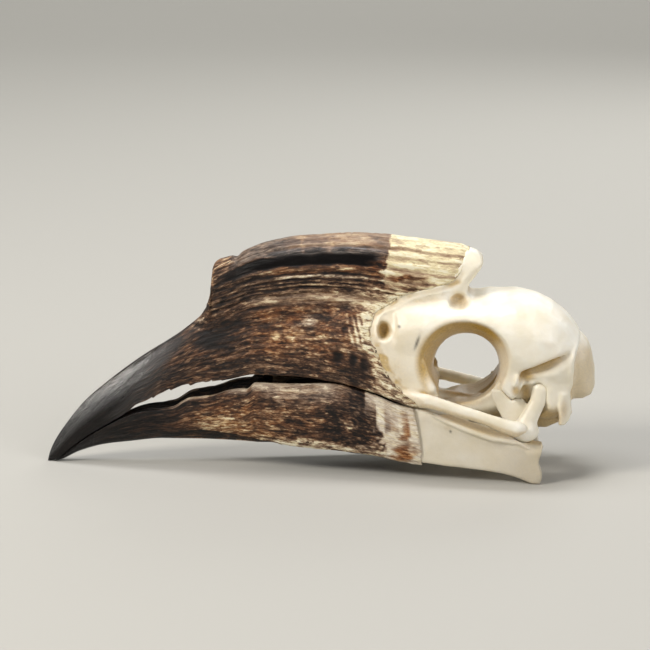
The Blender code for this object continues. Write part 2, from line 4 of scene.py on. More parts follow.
import bmesh
import bpy
import numpy as np
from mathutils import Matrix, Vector

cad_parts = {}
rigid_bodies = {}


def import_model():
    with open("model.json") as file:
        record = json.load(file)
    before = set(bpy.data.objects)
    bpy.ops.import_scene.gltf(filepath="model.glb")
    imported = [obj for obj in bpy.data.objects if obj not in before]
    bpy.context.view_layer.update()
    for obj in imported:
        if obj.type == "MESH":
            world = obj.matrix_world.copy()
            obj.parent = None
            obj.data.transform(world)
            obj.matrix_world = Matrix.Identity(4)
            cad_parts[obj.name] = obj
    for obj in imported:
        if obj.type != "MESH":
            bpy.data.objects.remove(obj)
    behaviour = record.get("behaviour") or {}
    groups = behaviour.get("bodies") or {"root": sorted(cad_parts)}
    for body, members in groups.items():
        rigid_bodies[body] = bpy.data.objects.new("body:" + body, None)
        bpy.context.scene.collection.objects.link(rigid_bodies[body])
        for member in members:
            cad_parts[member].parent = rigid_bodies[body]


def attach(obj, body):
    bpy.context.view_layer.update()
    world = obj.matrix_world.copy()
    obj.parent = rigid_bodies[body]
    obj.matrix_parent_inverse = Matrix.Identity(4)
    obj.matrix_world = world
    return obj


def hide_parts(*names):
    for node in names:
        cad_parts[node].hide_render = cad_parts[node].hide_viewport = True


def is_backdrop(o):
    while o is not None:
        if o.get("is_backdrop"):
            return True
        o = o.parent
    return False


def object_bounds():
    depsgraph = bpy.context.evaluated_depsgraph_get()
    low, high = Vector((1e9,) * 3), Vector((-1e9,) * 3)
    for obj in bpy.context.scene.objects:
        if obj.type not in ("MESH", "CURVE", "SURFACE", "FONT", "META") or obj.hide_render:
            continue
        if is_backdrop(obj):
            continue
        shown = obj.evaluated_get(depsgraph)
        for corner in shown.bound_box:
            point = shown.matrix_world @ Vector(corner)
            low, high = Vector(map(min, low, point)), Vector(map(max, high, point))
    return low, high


# %% [markdown]
# # A trumpeter hornbill's skull
# The object is a cleaned, dry skull about 164 mm long that lies on a table. Four kinds of surface meet
# on it: a polished slate-black bill tip, weathered brown horn with rust and cream streaks, a worn cream
# rear end of the casque, and smooth ivory bone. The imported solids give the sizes, and this script makes
# a finer skin for each of them in the same place.
#
# S is the distance back from the bill's tip, Y runs across, and Z is the height above the table, all in
# millimetres. One function turns them into Blender's metres.

# %% The frame, and the box that the finer pieces have to stay inside
MM = 0.001
LENGTH = 164.4

for old in list(bpy.data.objects):
    bpy.data.objects.remove(old)
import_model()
cad_low, cad_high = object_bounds()
print("CAD box, mm:", [round(v / MM, 1) for v in (*cad_low, *cad_high)])


def place(points):
    """Metres, with X = 0 halfway along the skull, from (S, Y, Z) in millimetres."""
    points = np.array(points, float)
    points[..., 0] -= LENGTH / 2
    return points * MM


def measured(mesh):
    """(S, Y, Z) in millimetres of every vertex."""
    points = np.empty(len(mesh.vertices) * 3)
    mesh.vertices.foreach_get("co", points)
    points = points.reshape(-1, 3) / MM
    points[:, 0] += LENGTH / 2
    return points


# %% [markdown]
# ## Camera
# The photograph was taken from the skull's left, a little above it. A long lens from about 0.8 m keeps
# the lines nearly parallel. The numbers come from matching the bill's tip, the casque and the jaw's
# heel in the frame.

# %% Camera
AZIMUTH, ELEVATION = math.radians(3), math.radians(12.5)
CAMERA_PLACE = (0.041956, -0.766775, 0.213054)
LENS, SENSOR = 146.3, 36
back = Vector((
    math.sin(AZIMUTH) * math.cos(ELEVATION),
    -math.cos(AZIMUTH) * math.cos(ELEVATION),
    math.sin(ELEVATION),
))
camera = bpy.data.objects.new("camera", bpy.data.cameras.new("camera"))
camera.location = CAMERA_PLACE
camera.rotation_mode = "QUATERNION"
camera.rotation_quaternion = (-back).to_track_quat("-Z", "Y")
camera.data.lens, camera.data.sensor_width = LENS, SENSOR
bpy.context.scene.collection.objects.link(camera)
bpy.context.scene.camera = camera
print("camera at", CAMERA_PLACE, "m, lens", LENS, "mm")

# %% [markdown]
# ## Colour and node helpers
# Colours are written as sRGB hex, the way a paint program shows them, and one function turns them into
# the linear values that shaders use. One function adds any node with its settings and links, and gives
# back the output that the next node needs.

# %% Helpers for colours, nodes and marks on the surface


def hexed(code, alpha=1.0):
    """An sRGB hex code as linear red, green, blue and alpha."""
    channels = [int(code[i:i + 2], 16) / 255 for i in (1, 3, 5)]
    linear = [c / 12.92 if c <= 0.04045 else ((c + 0.055) / 1.055) ** 2.4 for c in channels]
    return (*linear, alpha)


def add(tree, kind, links=None, stops=None, out=0, **settings):
    """Adds a node: settings are properties, links its inputs, stops a ramp's colours, out its output."""
    node = tree.nodes.new(kind)
    for name, value in settings.items():
        setattr(node, name, value)
    for socket, source in (links or {}).items():
        if isinstance(source, bpy.types.NodeSocket):
            tree.links.new(source, node.inputs[socket])
        else:
            node.inputs[socket].default_value = source
    if stops:
        elements = node.color_ramp.elements
        while len(elements) < len(stops):
            elements.new(0.5)
        for element, (position, colour) in zip(elements, stops):
            element.position = position
            element.color = hexed(colour)
    return node.outputs if out is None else node.outputs[out]


def principled(name, values):
    """A new material with values that are the same all over: gives it, its tree and its shader."""
    stuff = bpy.data.materials.new(name)
    stuff.use_nodes = True
    shader = stuff.node_tree.nodes["Principled BSDF"]
    for socket, value in values.items():
        shader.inputs[socket].default_value = value
    return stuff, stuff.node_tree, shader


def per_length(length, width):
    """How often a pattern repeats per metre along and across, from its length and width in mm."""
    return (1 / (length * MM), 1 / (width * MM), 1 / (width * MM))


def mark(piece, name, values):
    """Keeps a number or a vector for every vertex, for the material to read."""
    values = np.asarray(values, np.float32)
    kind, field = ("FLOAT", "value") if values.ndim == 1 else ("FLOAT_VECTOR", "vector")
    attribute = piece.data.attributes.new(name, kind, "POINT")
    attribute.data.foreach_set(field, values.ravel())


# %% [markdown]
# ## Curves, noise and soft touches
# Every outline is a few measured points with a smooth line through them. The small functions below give
# that line, a repeatable random field for uneven edges, and soft oval spots for patches of colour.

# %% Curves, noise and spots


def line(points):
    """A smooth function through (S, value) points, with no overshoot between them."""
    s, v = np.array(points, float)[:, :2].T
    rise = np.diff(v) / np.diff(s)
    product = rise[:-1] * rise[1:]
    inner = np.where(product > 0, 2 * product / np.where(product > 0, rise[:-1] + rise[1:], 1), 0)
    slope = np.concatenate([rise[:1], inner, rise[-1:]])

    def value(at):
        at = np.clip(at, s[0], s[-1])
        i = np.clip(np.searchsorted(s, at) - 1, 0, len(s) - 2)
        span = s[i + 1] - s[i]
        t = (at - s[i]) / span
        ends = (1 + 2 * t) * (1 - t) ** 2 * v[i] + t * t * (3 - 2 * t) * v[i + 1]
        return ends + span * t * (1 - t) * ((1 - t) * slope[i] - t * slope[i + 1])

    return value


NOISE_CELLS = 97


def wander(x, y, seed):
    """Soft random values from -1 to 1 over a plane, the same in every run."""
    table = np.random.default_rng(seed).uniform(-1, 1, (NOISE_CELLS, NOISE_CELLS))
    x, y = np.broadcast_arrays(np.asarray(x, float), np.asarray(y, float))
    i, j = np.floor(x).astype(int), np.floor(y).astype(int)
    u, v = x - i, y - j
    u, v = u * u * (3 - 2 * u), v * v * (3 - 2 * v)
    i0, i1, j0, j1 = (n % NOISE_CELLS for n in (i, i + 1, j, j + 1))
    near = table[i0, j0] * (1 - u) + table[i1, j0] * u
    far = table[i0, j1] * (1 - u) + table[i1, j1] * u
    return near * (1 - v) + far * v


def step(low, high, x):
    """0 below low, 1 above high, and a smooth change between them."""
    t = np.clip((x - low) / (high - low), 0, 1)
    return t * t * (3 - 2 * t)


def band(x, low, high, soft):
    """1 between low and high, and 0 outside, with soft ends."""
    return step(low - soft, low + soft, x) * (1 - step(high - soft, high + soft, x))


def spot(s, z, centre, radii, turn=0):
    """A soft oval: 1 at its centre (S, Z), falling to 0; turn is its tilt in degrees."""
    c, w = math.cos(math.radians(turn)), math.sin(math.radians(turn))
    ds, dz = s - centre[0], z - centre[1]
    return np.exp(-(((ds * c + dz * w) / radii[0]) ** 2 + ((dz * c - ds * w) / radii[1]) ** 2) ** 1.5)


# %% [markdown]
# ## Stage
# The skull lies on a plain pale sweep: a floor that curves up behind it, so that there is no horizon.
# Matt paper scatters light evenly, so the eye sees one calm tone, soft shadows and no shine. Five round
# soft boxes light it: the key from the left and in front, which draws the long highlight on the bill, a
# wide one overhead, a fill from the right, a weak rim light from behind, and one for the sweep alone.
# Nothing here belongs to the object.

# %% Floor
FLOOR_FRONT, FLOOR_BACK, SWEEP_RADIUS, WALL_TOP, HALF_SWEEP = -4, 1.1, 0.9, 5, 6
profile = [(FLOOR_FRONT, 0)]
for degrees in range(0, 91, 5):
    a = math.radians(degrees)
    profile.append((FLOOR_BACK + SWEEP_RADIUS * math.sin(a), SWEEP_RADIUS * (1 - math.cos(a))))
profile.append((FLOOR_BACK + SWEEP_RADIUS, WALL_TOP))
count = len(profile)
sweep_points = [(x, y, z) for x in (-HALF_SWEEP, HALF_SWEEP) for y, z in profile]
floor_mesh = bpy.data.meshes.new("floor")
floor_mesh.from_pydata(sweep_points, [], [(i, count + i, count + i + 1, i + 1) for i in range(count - 1)])
floor_mesh.shade_smooth()
floor = bpy.data.objects.new("floor", floor_mesh)
bpy.context.scene.collection.objects.link(floor)
paper, _, _ = principled("Matt studio paper", {"Base Color": hexed("#b3b1aa"), "Roughness": 0.85})
floor_mesh.materials.append(paper)
floor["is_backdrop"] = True
print("floor:", len(floor_mesh.polygons), "faces")

# %% Lights
# Name, place (m), size (m), power (W) and tint
SOFT_BOXES = [
    ("key", (-0.78, -0.53, 0.73), 0.38, 10.0, "#fffaf2"),
    ("overhead", (-0.25, 0.05, 0.9), 0.5, 2.6, "#fbfaff"),
    ("fill", (0.75, -0.6, 0.5), 0.7, 4.3, "#fdfcff"),
    ("rim", (0.3, 0.75, 0.5), 0.5, 1.6, "#ffffff"),
    ("backdrop", (0, 0.5, 2.6), 1.0, 44, "#ffffff"),
]
SKULL_MIDDLE, SWEEP_MIDDLE = Vector((0, 0, 0.03)), Vector((0, 2.0, 0.9))
AIR_TINT, AIR_STRENGTH = "#dfe2e4", 0.17
for name, where, size, watts, tint in SOFT_BOXES:
    lamp = bpy.data.objects.new(name, bpy.data.lights.new(name, "AREA"))
    lamp.data.shape = "DISK"
    lamp.data.size, lamp.data.energy = size, watts
    lamp.data.color = hexed(tint)[:3]
    lamp.location = where
    aim = SWEEP_MIDDLE if name == "backdrop" else SKULL_MIDDLE
    lamp.rotation_euler = (aim - Vector(where)).to_track_quat("-Z", "Y").to_euler()
    bpy.context.scene.collection.objects.link(lamp)
world = bpy.data.worlds.new("studio air")
world.use_nodes = True
world.node_tree.nodes["Background"].inputs["Color"].default_value = hexed(AIR_TINT)
world.node_tree.nodes["Background"].inputs["Strength"].default_value = AIR_STRENGTH
bpy.context.scene.world = world
bpy.context.scene.view_settings.view_transform = "Standard"
print("soft boxes:", [name for name, *_ in SOFT_BOXES])

# %% [markdown]
# ## Outlines of the horn
# The same measured outlines as in the solids: the ridge line over the bill's tip, up the blunt front of
# the casque and along its top, the cutting edges with their worn steps, and the half-widths.

# %% Outlines
CULMEN = [(0, 0.3), (0.6, 2.5), (2.2, 6.1), (6.4, 12.4), (11.5, 18.6), (16.7, 23.3), (27.8, 31.9),
          (39.4, 39.4), (43.4, 42.5), (47.4, 46.1), (49.4, 50.7), (50.2, 55.2), (50.6, 59.6),
          (51.4, 61.5), (53.7, 62.9), (56.6, 63.6), (57.7, 63.45), (59.6, 64.9), (62.3, 66.2), (65.3, 67.3),
          (69.8, 68.7), (77.5, 69.9), (93.7, 70.8), (117.9, 68.6), (130, 67)]
BILL_TOP = [(0, 0.3), (0.6, 2.5), (2.2, 6.1), (6.4, 12.4), (11.5, 18.6), (16.7, 23.3), (27.8, 31.9),
            (39.4, 39.4), (47.4, 44.2), (56, 47.5), (66, 50), (83, 53), (100, 55.5), (118, 56), (130, 55)]
UPPER_EDGE = [(0, 0), (2.8, 0.7), (7.5, 4.7), (12.7, 8.6), (16.4, 11), (20, 13.2), (24.1, 15.8),
              (27.6, 19), (30.7, 20.1), (34.8, 22.8), (39.3, 24.3), (45.4, 26.1), (56.2, 27.8),
              (63.7, 29.5), (74.2, 29.5), (86.7, 28.4), (99.1, 25.8), (106.5, 23.2), (111, 22), (118, 21.6)]
LOWER_EDGE = [(2, 0.1), (3, 0.6), (5, 2.3), (7.5, 4.45), (12.7, 8.35), (16.2, 10.6), (24.1, 15.1),
              (31.7, 17.6), (38.3, 18.4), (43.8, 21.4), (48.3, 22.2), (57.1, 24.7), (61.1, 25.1),
              (63.6, 26.9), (73.6, 27), (86.7, 27.7), (99.1, 25), (106.5, 22.3), (115, 20.8)]
LOWER_BOTTOM = [(2, 0), (4, 0.4), (9.9, 3.2), (17.5, 5.4), (25.1, 6.4), (35.2, 7.5), (65.5, 7.6),
                (77.7, 6.5), (96.5, 5.4), (106.4, 3.8), (115, 3)]
HALF_WIDTH = [(0, 0.6), (5, 1.9), (15, 3.4), (33, 5.4), (48, 7.2), (80, 11.5), (113, 17), (150, 20.5)]
CASQUE_HALF = [(44, 0.3), (47, 2.6), (50, 4.2), (55, 5.4), (65, 6.4), (80, 7.2), (100, 8.2), (130, 9)]
ARCH = [(0, 2), (40, 2.2), (80, 2.6), (115, 4)]
LOWER_ARCH = [(0, 2), (45, 2.2), (60, 3.5), (72, 7), (115, 9)]
HORN_EDGE = [(10, 114.4), (22.1, 113.9), (23.9, 113), (26.7, 108.3), (30.1, 104.4), (34.3, 101.8),
             (38.7, 99.4), (43, 98.2), (47.6, 98.7), (51.3, 103.1), (54.1, 109.4), (56.7, 119),
             (58.3, 122.5), (61.3, 124.5), (64.1, 126.2), (67.5, 127.1), (80, 127.7)]
LOWER_HORN_EDGE = [(-10, 114), (4, 113.4), (12, 112.4), (21.6, 110.9), (40, 111)]
# Where the growth lines would run if the casque's top went on forward as one arc to the bill's tip
GROWTH_ARC = [(0, 0.6), (6, 13.5), (15, 25), (25, 36), (39.4, 50), (50, 60.5), (56, 63.6), (63.6, 66.9),
              (69.8, 68.4), (77.5, 69.7), (93.7, 70.8), (117.9, 68.6), (130, 67)]
GROWTH_DEPTH = 40
# How light the casque's side is at each depth below the growth arc: the worn crests are light
STRIPES = [(7.4, 0.36), (8.2, 0.48), (9.4, 0.46), (9.9, 0.12), (10.3, 0.64), (10.8, 0.74), (11.1, 0.3),
           (11.6, 0.12), (12, 0.52), (12.3, 0.5), (12.5, 0.02), (12.8, 0.4), (13.2, 0.64), (13.6, 0.4),
           (13.9, 0.14), (14.5, 0.46), (15.4, 0.5), (16.1, 0.68), (18, 0.7), (19.2, 0.5), (20.5, 0.6),
           (22, 0.45)]

culmen, bill_top, upper_edge = line(CULMEN), line(BILL_TOP), line(UPPER_EDGE)
lower_edge, lower_bottom, half_width = line(LOWER_EDGE), line(LOWER_BOTTOM), line(HALF_WIDTH)
casque_half, arch, lower_arch = line(CASQUE_HALF), line(ARCH), line(LOWER_ARCH)
horn_edge, lower_horn_edge, growth_arc = line(HORN_EDGE), line(LOWER_HORN_EDGE), line(GROWTH_ARC)
# How far the horn stands out from the bone, and how far the bone goes on under it, in mm
HORN_PROUD, HORN_OVERLAP = 0.5, 1.6
print("casque's highest point:", max(z for _, z in CULMEN), "mm")


# The casque's rounded top is 1.3 times as tall as its half-width
CAP_HEIGHT = 1.3


def upper_half_width(s, z):
    """Half the upper bill's width at a height: the bill's arch, or the casque's wall where that is wider."""
    low, top = upper_edge(s), culmen(s)
    rise = np.clip((z - low) / (bill_top(s) - low), 0, 1)
    bill = half_width(s) * (1 - rise ** arch(s)) ** 0.6
    cap = CAP_HEIGHT * casque_half(s)
    casque = casque_half(s) * np.sqrt(np.clip(1 - np.clip((z - top + cap) / cap, 0, 1) ** 2, 0, 1))
    return 0.5 * (bill + casque + np.sqrt((bill - casque) ** 2 + 0.25)) * (z < top)


def behind_horn(s, z):
    """How far behind the horn's rear edge a point lies, in mm square to that edge."""
    slope = (horn_edge(z + 0.2) - horn_edge(z - 0.2)) / 0.4
    return (s - horn_edge(z)) / np.sqrt(1 + slope ** 2)


def depth_in_growth(s, z):
    """How far below the growth arc a point lies, in mm as measured at the middle of the casque."""
    low = upper_edge(s)
    return GROWTH_DEPTH * np.clip(1 - (z - low) / (growth_arc(s) - low), -0.2, 1.2)


# %% [markdown]
# ## Making a skin from sections
# The horn is lofted: closed sections, one behind the other, joined by quads. Each row of points ends on
# the horn's own rear edge, so no cutting is needed and the edge can be ragged. The last sections turn
# in over a thin lip, and a wall from side to side closes the shape where the bone takes over.

# %% Lofted skins


def solid(name, points, faces):
    """A smooth mesh object from (S, Y, Z) points."""
    mesh = bpy.data.meshes.new(name)
    mesh.from_pydata(place(points).tolist(), [], faces)
    mesh.shade_smooth()
    made = bpy.data.objects.new(name, mesh)
    bpy.context.scene.collection.objects.link(made)
    return made


def face_outwards(mesh):
    """Turns every face of a closed mesh outwards."""
    turned = bmesh.new()
    turned.from_mesh(mesh)
    bmesh.ops.recalc_face_normals(turned, faces=turned.faces)
    turned.to_mesh(mesh)
    turned.free()


def horn_loft(name, half_rings):
    """A closed skin from half sections, each from the bottom middle round the +Y side to the top middle."""
    half_rings = np.array(half_rings)
    other = half_rings[:, -2:0:-1] * (1, -1, 1)
    rings = np.concatenate([half_rings, other], axis=1)
    count, around = rings.shape[:2]
    half = half_rings.shape[1]
    index = np.arange(count * around).reshape(count, around)
    after = np.roll(index, -1, axis=1)
    quads = np.stack([index[:-1], after[:-1], after[1:], index[1:]], -1).reshape(-1, 4)
    last = index[-1]
    mirror = [0, *range(around - 1, half - 1, -1), half - 1]
    wall = [[last[mirror[k]], last[mirror[k + 1]], last[k + 1], last[k]] for k in range(1, half - 2)]
    wall.append([last[0], last[mirror[1]], last[1]])
    wall.append([last[half - 2], last[mirror[half - 2]], last[half - 1]])
    faces = [*quads.tolist(), index[0].tolist(), *wall]
    made = solid(name, rings.reshape(-1, 3), faces)
    face_outwards(made.data)
    print(name, "sections:", count, "faces:", len(faces))
    return made


def with_lip(rings, thickness, depth):
    """Adds sections that turn in from the last one, so that the horn's edge has a rounded lip."""
    last = np.array(rings[-1])
    along = np.gradient(last, axis=0)
    inward = np.stack([np.zeros(len(last)), -along[:, 2], along[:, 1]], 1)
    inward /= np.maximum(np.linalg.norm(inward, axis=1), 1e-6)[:, None]
    inward[0] = inward[-1] = 0
    lip = [last + inward * thickness * share + (back, 0, 0) for share, back in ((0.3, 0.12), (1, 0.1))]
    return [*rings, *lip, last + inward * depth + (0.05, 0, 0)]


def to_edge_of_horn(s0, start, last, edge):
    """Stretches the sections behind start, so that the last one lands on the horn's edge."""
    return np.where(s0 > start, start + (s0 - start) * (edge - start) / (last - start), s0)


# %% [markdown]
# ## The horn of the upper bill and the casque
# On the bird this is one sheath of horn over bone: a sharp worn cutting edge below, an arched roof, and
# the casque's hollow blade on top. It could be modelled as a low cage and subdivided, but the outlines
# are known, so sections that follow them land exactly where they should. Each row runs from the tip back
# to the ragged rear edge. Small chips break the cutting edge and the casque's top line.

# %% Upper bill and casque
PALATE_ROWS, SIDE_ROWS = 12, 132
PALATE_DEPTH = [(0, 0.1), (10, 0.6), (40, 2.5), (80, 4), (118, 4)]
palate_depth = line(PALATE_DEPTH)
UPPER_WARP_START, UPPER_LAST = 80, 130
LIP_THICKNESS, LIP_DEPTH = 0.35, 1.6


def upper_stations():
    """Sections every 0.45 mm, closer at the tip and at the steep front of the casque."""
    tip = [0.12, 0.3, 0.5, 0.75, 1.05, 1.4]
    bill, front, casque = np.arange(1.8, 46.4, 0.45), np.arange(46.5, 52, 0.16), np.arange(52, 130.1, 0.45)
    return np.concatenate([tip, bill, front, casque])


def chipped(s):
    """The small bites out of the upper cutting edge, in mm."""
    bites = np.maximum(wander(s / 3.1, 2.5, 11), 0) * 0.8 + np.maximum(wander(s / 1.3, 7.5, 12), 0) * 0.5
    steps = 0.6 * ((s / 6.1 + 0.8 * wander(s / 5, 1.5, 13)) % 1)
    return (bites + steps - 0.6) * step(22, 28, s) * step(60, 46, s)


def flaked(s):
    """How far the casque's top line is worn down by small flakes, in mm."""
    flakes = np.maximum(wander(s / 2.7, 3.5, 14), 0) * 0.3 + np.maximum(wander(s / 0.9, 6.5, 15), 0) * 0.3
    return flakes * step(50, 53, s) * step(103, 100, s)


def upper_row(s0, share):
    """(S, Z) along one row of the side, which ends on the horn's edge."""
    s = s0.copy()
    for _ in range(12):
        low = upper_edge(s) + chipped(s)
        z = low + (culmen(s) - flaked(s) - low) * math.sin(math.pi / 2 * share)
        ragged = 0.8 * wander(z / 1.7, 3.5, 21) + 0.4 * wander(z / 0.6, 5.5, 22)
        edge = horn_edge(z) + ragged * (1 - 0.7 * step(56, 60, z))
        s = to_edge_of_horn(s0, UPPER_WARP_START, UPPER_LAST, edge)
    return s, z


s0 = upper_stations()
sides = [upper_row(s0, k / SIDE_ROWS) for k in range(SIDE_ROWS + 1)]
s, low = sides[0]
rim = np.minimum(0.35 * half_width(s), 1.3)
reach = half_width(s) - rim
rows = []
for share in np.arange(PALATE_ROWS + 1) / PALATE_ROWS:
    rows.append(np.stack([s, reach * share, low + palate_depth(s) * (1 - share ** 2)], 1))
for k, (s, z) in enumerate(sides):
    y = upper_half_width(s, z) - (0.5 * rim if k == 0 else 0)
    rows.append(np.stack([s, y if k < SIDE_ROWS else np.zeros(len(s)), z], 1))
upper_horn = horn_loft("Upper_bill_horn", with_lip(list(np.stack(rows, 1)), LIP_THICKNESS, LIP_DEPTH))

# %% [markdown]
# ## The horn of the lower bill
# The lower sheath is a scoop: two thin sides that join in front, with a shallow trough on top. It is
# lofted solid and then hollowed with one Boolean cut by a wedge with a round nose, because the two sides
# have to stay the same thickness all the way back.

# %% Lower bill
LOWER_WARP_START, LOWER_LAST = 90, 115
LOWER_SHARE = 0.97
TROUGH_ROWS, LOWER_ROWS = 12, 64


def lower_row(s0, turn):
    """(S, Z) and half-width along one row of the lower bill's side; turn goes from its edge to its keel."""
    s = s0.copy()
    for _ in range(8):
        low = lower_bottom(s)
        worn = 0.5 * np.maximum(wander(s / 2.3, 4.5, 31), 0) * step(12, 22, s) * step(70, 60, s)
        top = lower_edge(s) - worn
        shoulder = top - np.minimum(0.3, 0.2 * (top - low))
        z = shoulder - (shoulder - low) * math.sin(turn) ** (2 / lower_arch(s))
        ragged = 0.3 * wander(z / 2.1, 8.5, 41) + 0.15 * wander(z / 0.7, 2.5, 42)
        s = to_edge_of_horn(s0, LOWER_WARP_START, LOWER_LAST, lower_horn_edge(z) + ragged)
    wide = half_width(s) * LOWER_SHARE * max(math.cos(turn), 0) ** (2 / lower_arch(s))
    return s, z, wide, top


s0 = np.array([2.2, 2.5, 2.9, 3.4, *np.arange(3.9, 115.1, 0.45)])
s, _, wide, top = lower_row(s0, 0)
trough = np.minimum(0.35 * (top - lower_bottom(s)), 0.06 * s)
floor_reach = wide - np.minimum(0.3 * wide, 1.3)
rows = []
for share in np.arange(TROUGH_ROWS + 1) / TROUGH_ROWS:
    rows.append(np.stack([s, floor_reach * share, top - trough * (1 - share ** 2)], 1))
for k in range(LOWER_ROWS + 1):
    s, z, wide, _ = lower_row(s0, math.pi / 2 * k / LOWER_ROWS)
    rows.append(np.stack([s, wide if k < LOWER_ROWS else np.zeros(len(s)), z], 1))
lower_horn = horn_loft("Lower_bill_horn", np.stack(rows, 1))

# %% The space between the jaw's two sides
# The horn's thickness, and the space between the horn and the jaw's bone, in mm
LOWER_HORN_WALL, GAP = 1.9, 0.15
SYMPHYSIS, CHIN_LENGTH = 62, 9
WEDGE_END, WEDGE_LOW, WEDGE_HIGH = 170, -20, 60


def settle(item):
    """Keeps the shape that an object's modifiers give, and removes the modifiers."""
    bpy.context.view_layer.update()
    shape = bpy.data.meshes.new_from_object(item.evaluated_get(bpy.context.evaluated_depsgraph_get()))
    item.modifiers.clear()
    old, item.data = item.data, shape
    bpy.data.meshes.remove(old)
    return item


start = SYMPHYSIS + CHIN_LENGTH
far = [(s, float(half_width(s)) - LOWER_HORN_WALL) for s in np.linspace(start, WEDGE_END, 10)]
turns = np.radians(np.arange(78, -90, -6))
nose = [(SYMPHYSIS + CHIN_LENGTH * (1 - math.cos(a)), far[0][1] * math.sin(a)) for a in turns]
plan = [*reversed(far), *nose, *((s, -y) for s, y in far)]
count = len(plan)
points = [(s, y, z) for z in (WEDGE_LOW, WEDGE_HIGH) for s, y in plan]
faces = [[i, (i + 1) % count, count + (i + 1) % count, count + i] for i in range(count)]
wedge = solid("wedge", points, [list(range(count)), list(range(count, 2 * count)), *faces])
face_outwards(wedge.data)
cutter = lower_horn.modifiers.new("space", "BOOLEAN")
cutter.operation, cutter.solver, cutter.object = "DIFFERENCE", "MANIFOLD", wedge
settle(lower_horn)
bpy.data.objects.remove(wedge)
print("lower horn after the cut:", len(lower_horn.data.polygons), "faces")

# %% [markdown]
# ## Bone as a blended field
# Bones flow into each other with soft fillets, but their rims are crisp. A field does both: every shape
# is a distance in mm, shapes are joined or cut with a chosen blend, and the skin is drawn where the
# result is zero. The values sit on a grid of points, 0.42 mm apart for the skull, 0.4 mm for the jaw and
# 0.25 mm for the small bones. The skull and the jaw are worked out for one side, and the other side is
# its mirror image.

# %% Field shapes


def ball(at, centre, radii):
    """Distance to an egg shape with three radii."""
    s, y, z = at
    p = [(s - centre[0]) / radii[0], (y - centre[1]) / radii[1], (z - centre[2]) / radii[2]]
    k0 = np.sqrt(p[0] ** 2 + p[1] ** 2 + p[2] ** 2)
    k1 = np.sqrt((p[0] / radii[0]) ** 2 + (p[1] / radii[1]) ** 2 + (p[2] / radii[2]) ** 2)
    return k0 * (k0 - 1) / np.maximum(k1, 1e-6)


def bar(at, path, radii, flat=1.0):
    """A round bar along a path; flat is its width across the skull as a share of its height."""
    s, y, z = at
    best = None
    for (a, b, ra, rb) in zip(path[:-1], path[1:], radii[:-1], radii[1:]):
        ab = np.subtract(b, a) * (1, 1 / flat, 1)
        q = (s - a[0], (y - a[1]) / flat, z - a[2])
        t = np.clip((q[0] * ab[0] + q[1] * ab[1] + q[2] * ab[2]) / (ab @ ab), 0, 1)
        away = np.sqrt((q[0] - t * ab[0]) ** 2 + (q[1] - t * ab[1]) ** 2 + (q[2] - t * ab[2]) ** 2)
        d = away - (ra + t * (rb - ra))
        best = d if best is None else np.minimum(best, d)
    return best


def outline_distance(u, v, outline):
    """Distance to a closed outline in a plane, negative inside it."""
    outline = np.array(outline, float)
    best = np.full(np.broadcast(u, v).shape, np.inf)
    inside = np.zeros(best.shape, bool)
    for a, b in zip(outline, np.roll(outline, -1, axis=0)):
        ab = b - a
        t = np.clip(((u - a[0]) * ab[0] + (v - a[1]) * ab[1]) / (ab @ ab), 0, 1)
        best = np.minimum(best, (u - a[0] - t * ab[0]) ** 2 + (v - a[1] - t * ab[1]) ** 2)
        crosses = (a[1] > v) != (b[1] > v)
        inside ^= crosses & (u < a[0] + (v - a[1]) * ab[0] / (ab[1] if ab[1] else 1e-9))
    return np.where(inside, -1, 1) * np.sqrt(best)


def slab(at, outline, low, high, rounding):
    """A side outline (S, Z) made solid from low to high across the skull, with rounded edges."""
    s, y, z = at
    flat = outline_distance(s, z, outline) + rounding
    across = np.abs(y - (low + high) / 2) - (high - low) / 2 + rounding
    outer = np.sqrt(np.maximum(flat, 0) ** 2 + np.maximum(across, 0) ** 2)
    return outer + np.minimum(np.maximum(flat, across), 0) - rounding


def join(a, b, blend):
    """Both shapes as one, with a fillet as wide as the blend where they meet."""
    h = np.clip(0.5 + 0.5 * (b - a) / blend, 0, 1)
    return b + (a - b) * h - blend * h * (1 - h)


def cut(a, b, blend):
    """What is left of one shape when the other is taken away, with a rounded edge."""
    return -join(-a, b, blend)


def even(values, grain):
    """Turns any smooth field into one that grows by about 1 per mm near its skin."""
    g = np.gradient(values, grain)
    size = np.sqrt(g[0] ** 2 + g[1] ** 2 + g[2] ** 2)
    return np.clip(values / np.maximum(size, 0.02), -9, 9)


def dent(at, path, radius):
    """1 on a path, falling to 0 beyond the radius: a weight for pushing a skin in or out."""
    return np.exp(-(np.maximum(bar(at, path, [0.01] * len(path)), 0) / radius) ** 2)


# %% [markdown]
# ## From a field to a mesh
# The skin needs one point in every grid cell that the zero surface crosses, at the mean of the places
# where it crosses the cell's edges, and one quad around every grid edge that it crosses. Blender could do
# this with a volume and its mesher, but this way gives even quads and exact mirror halves. A light
# smoothing takes the grid's last steps away.

# %% Drawing the skin of a field


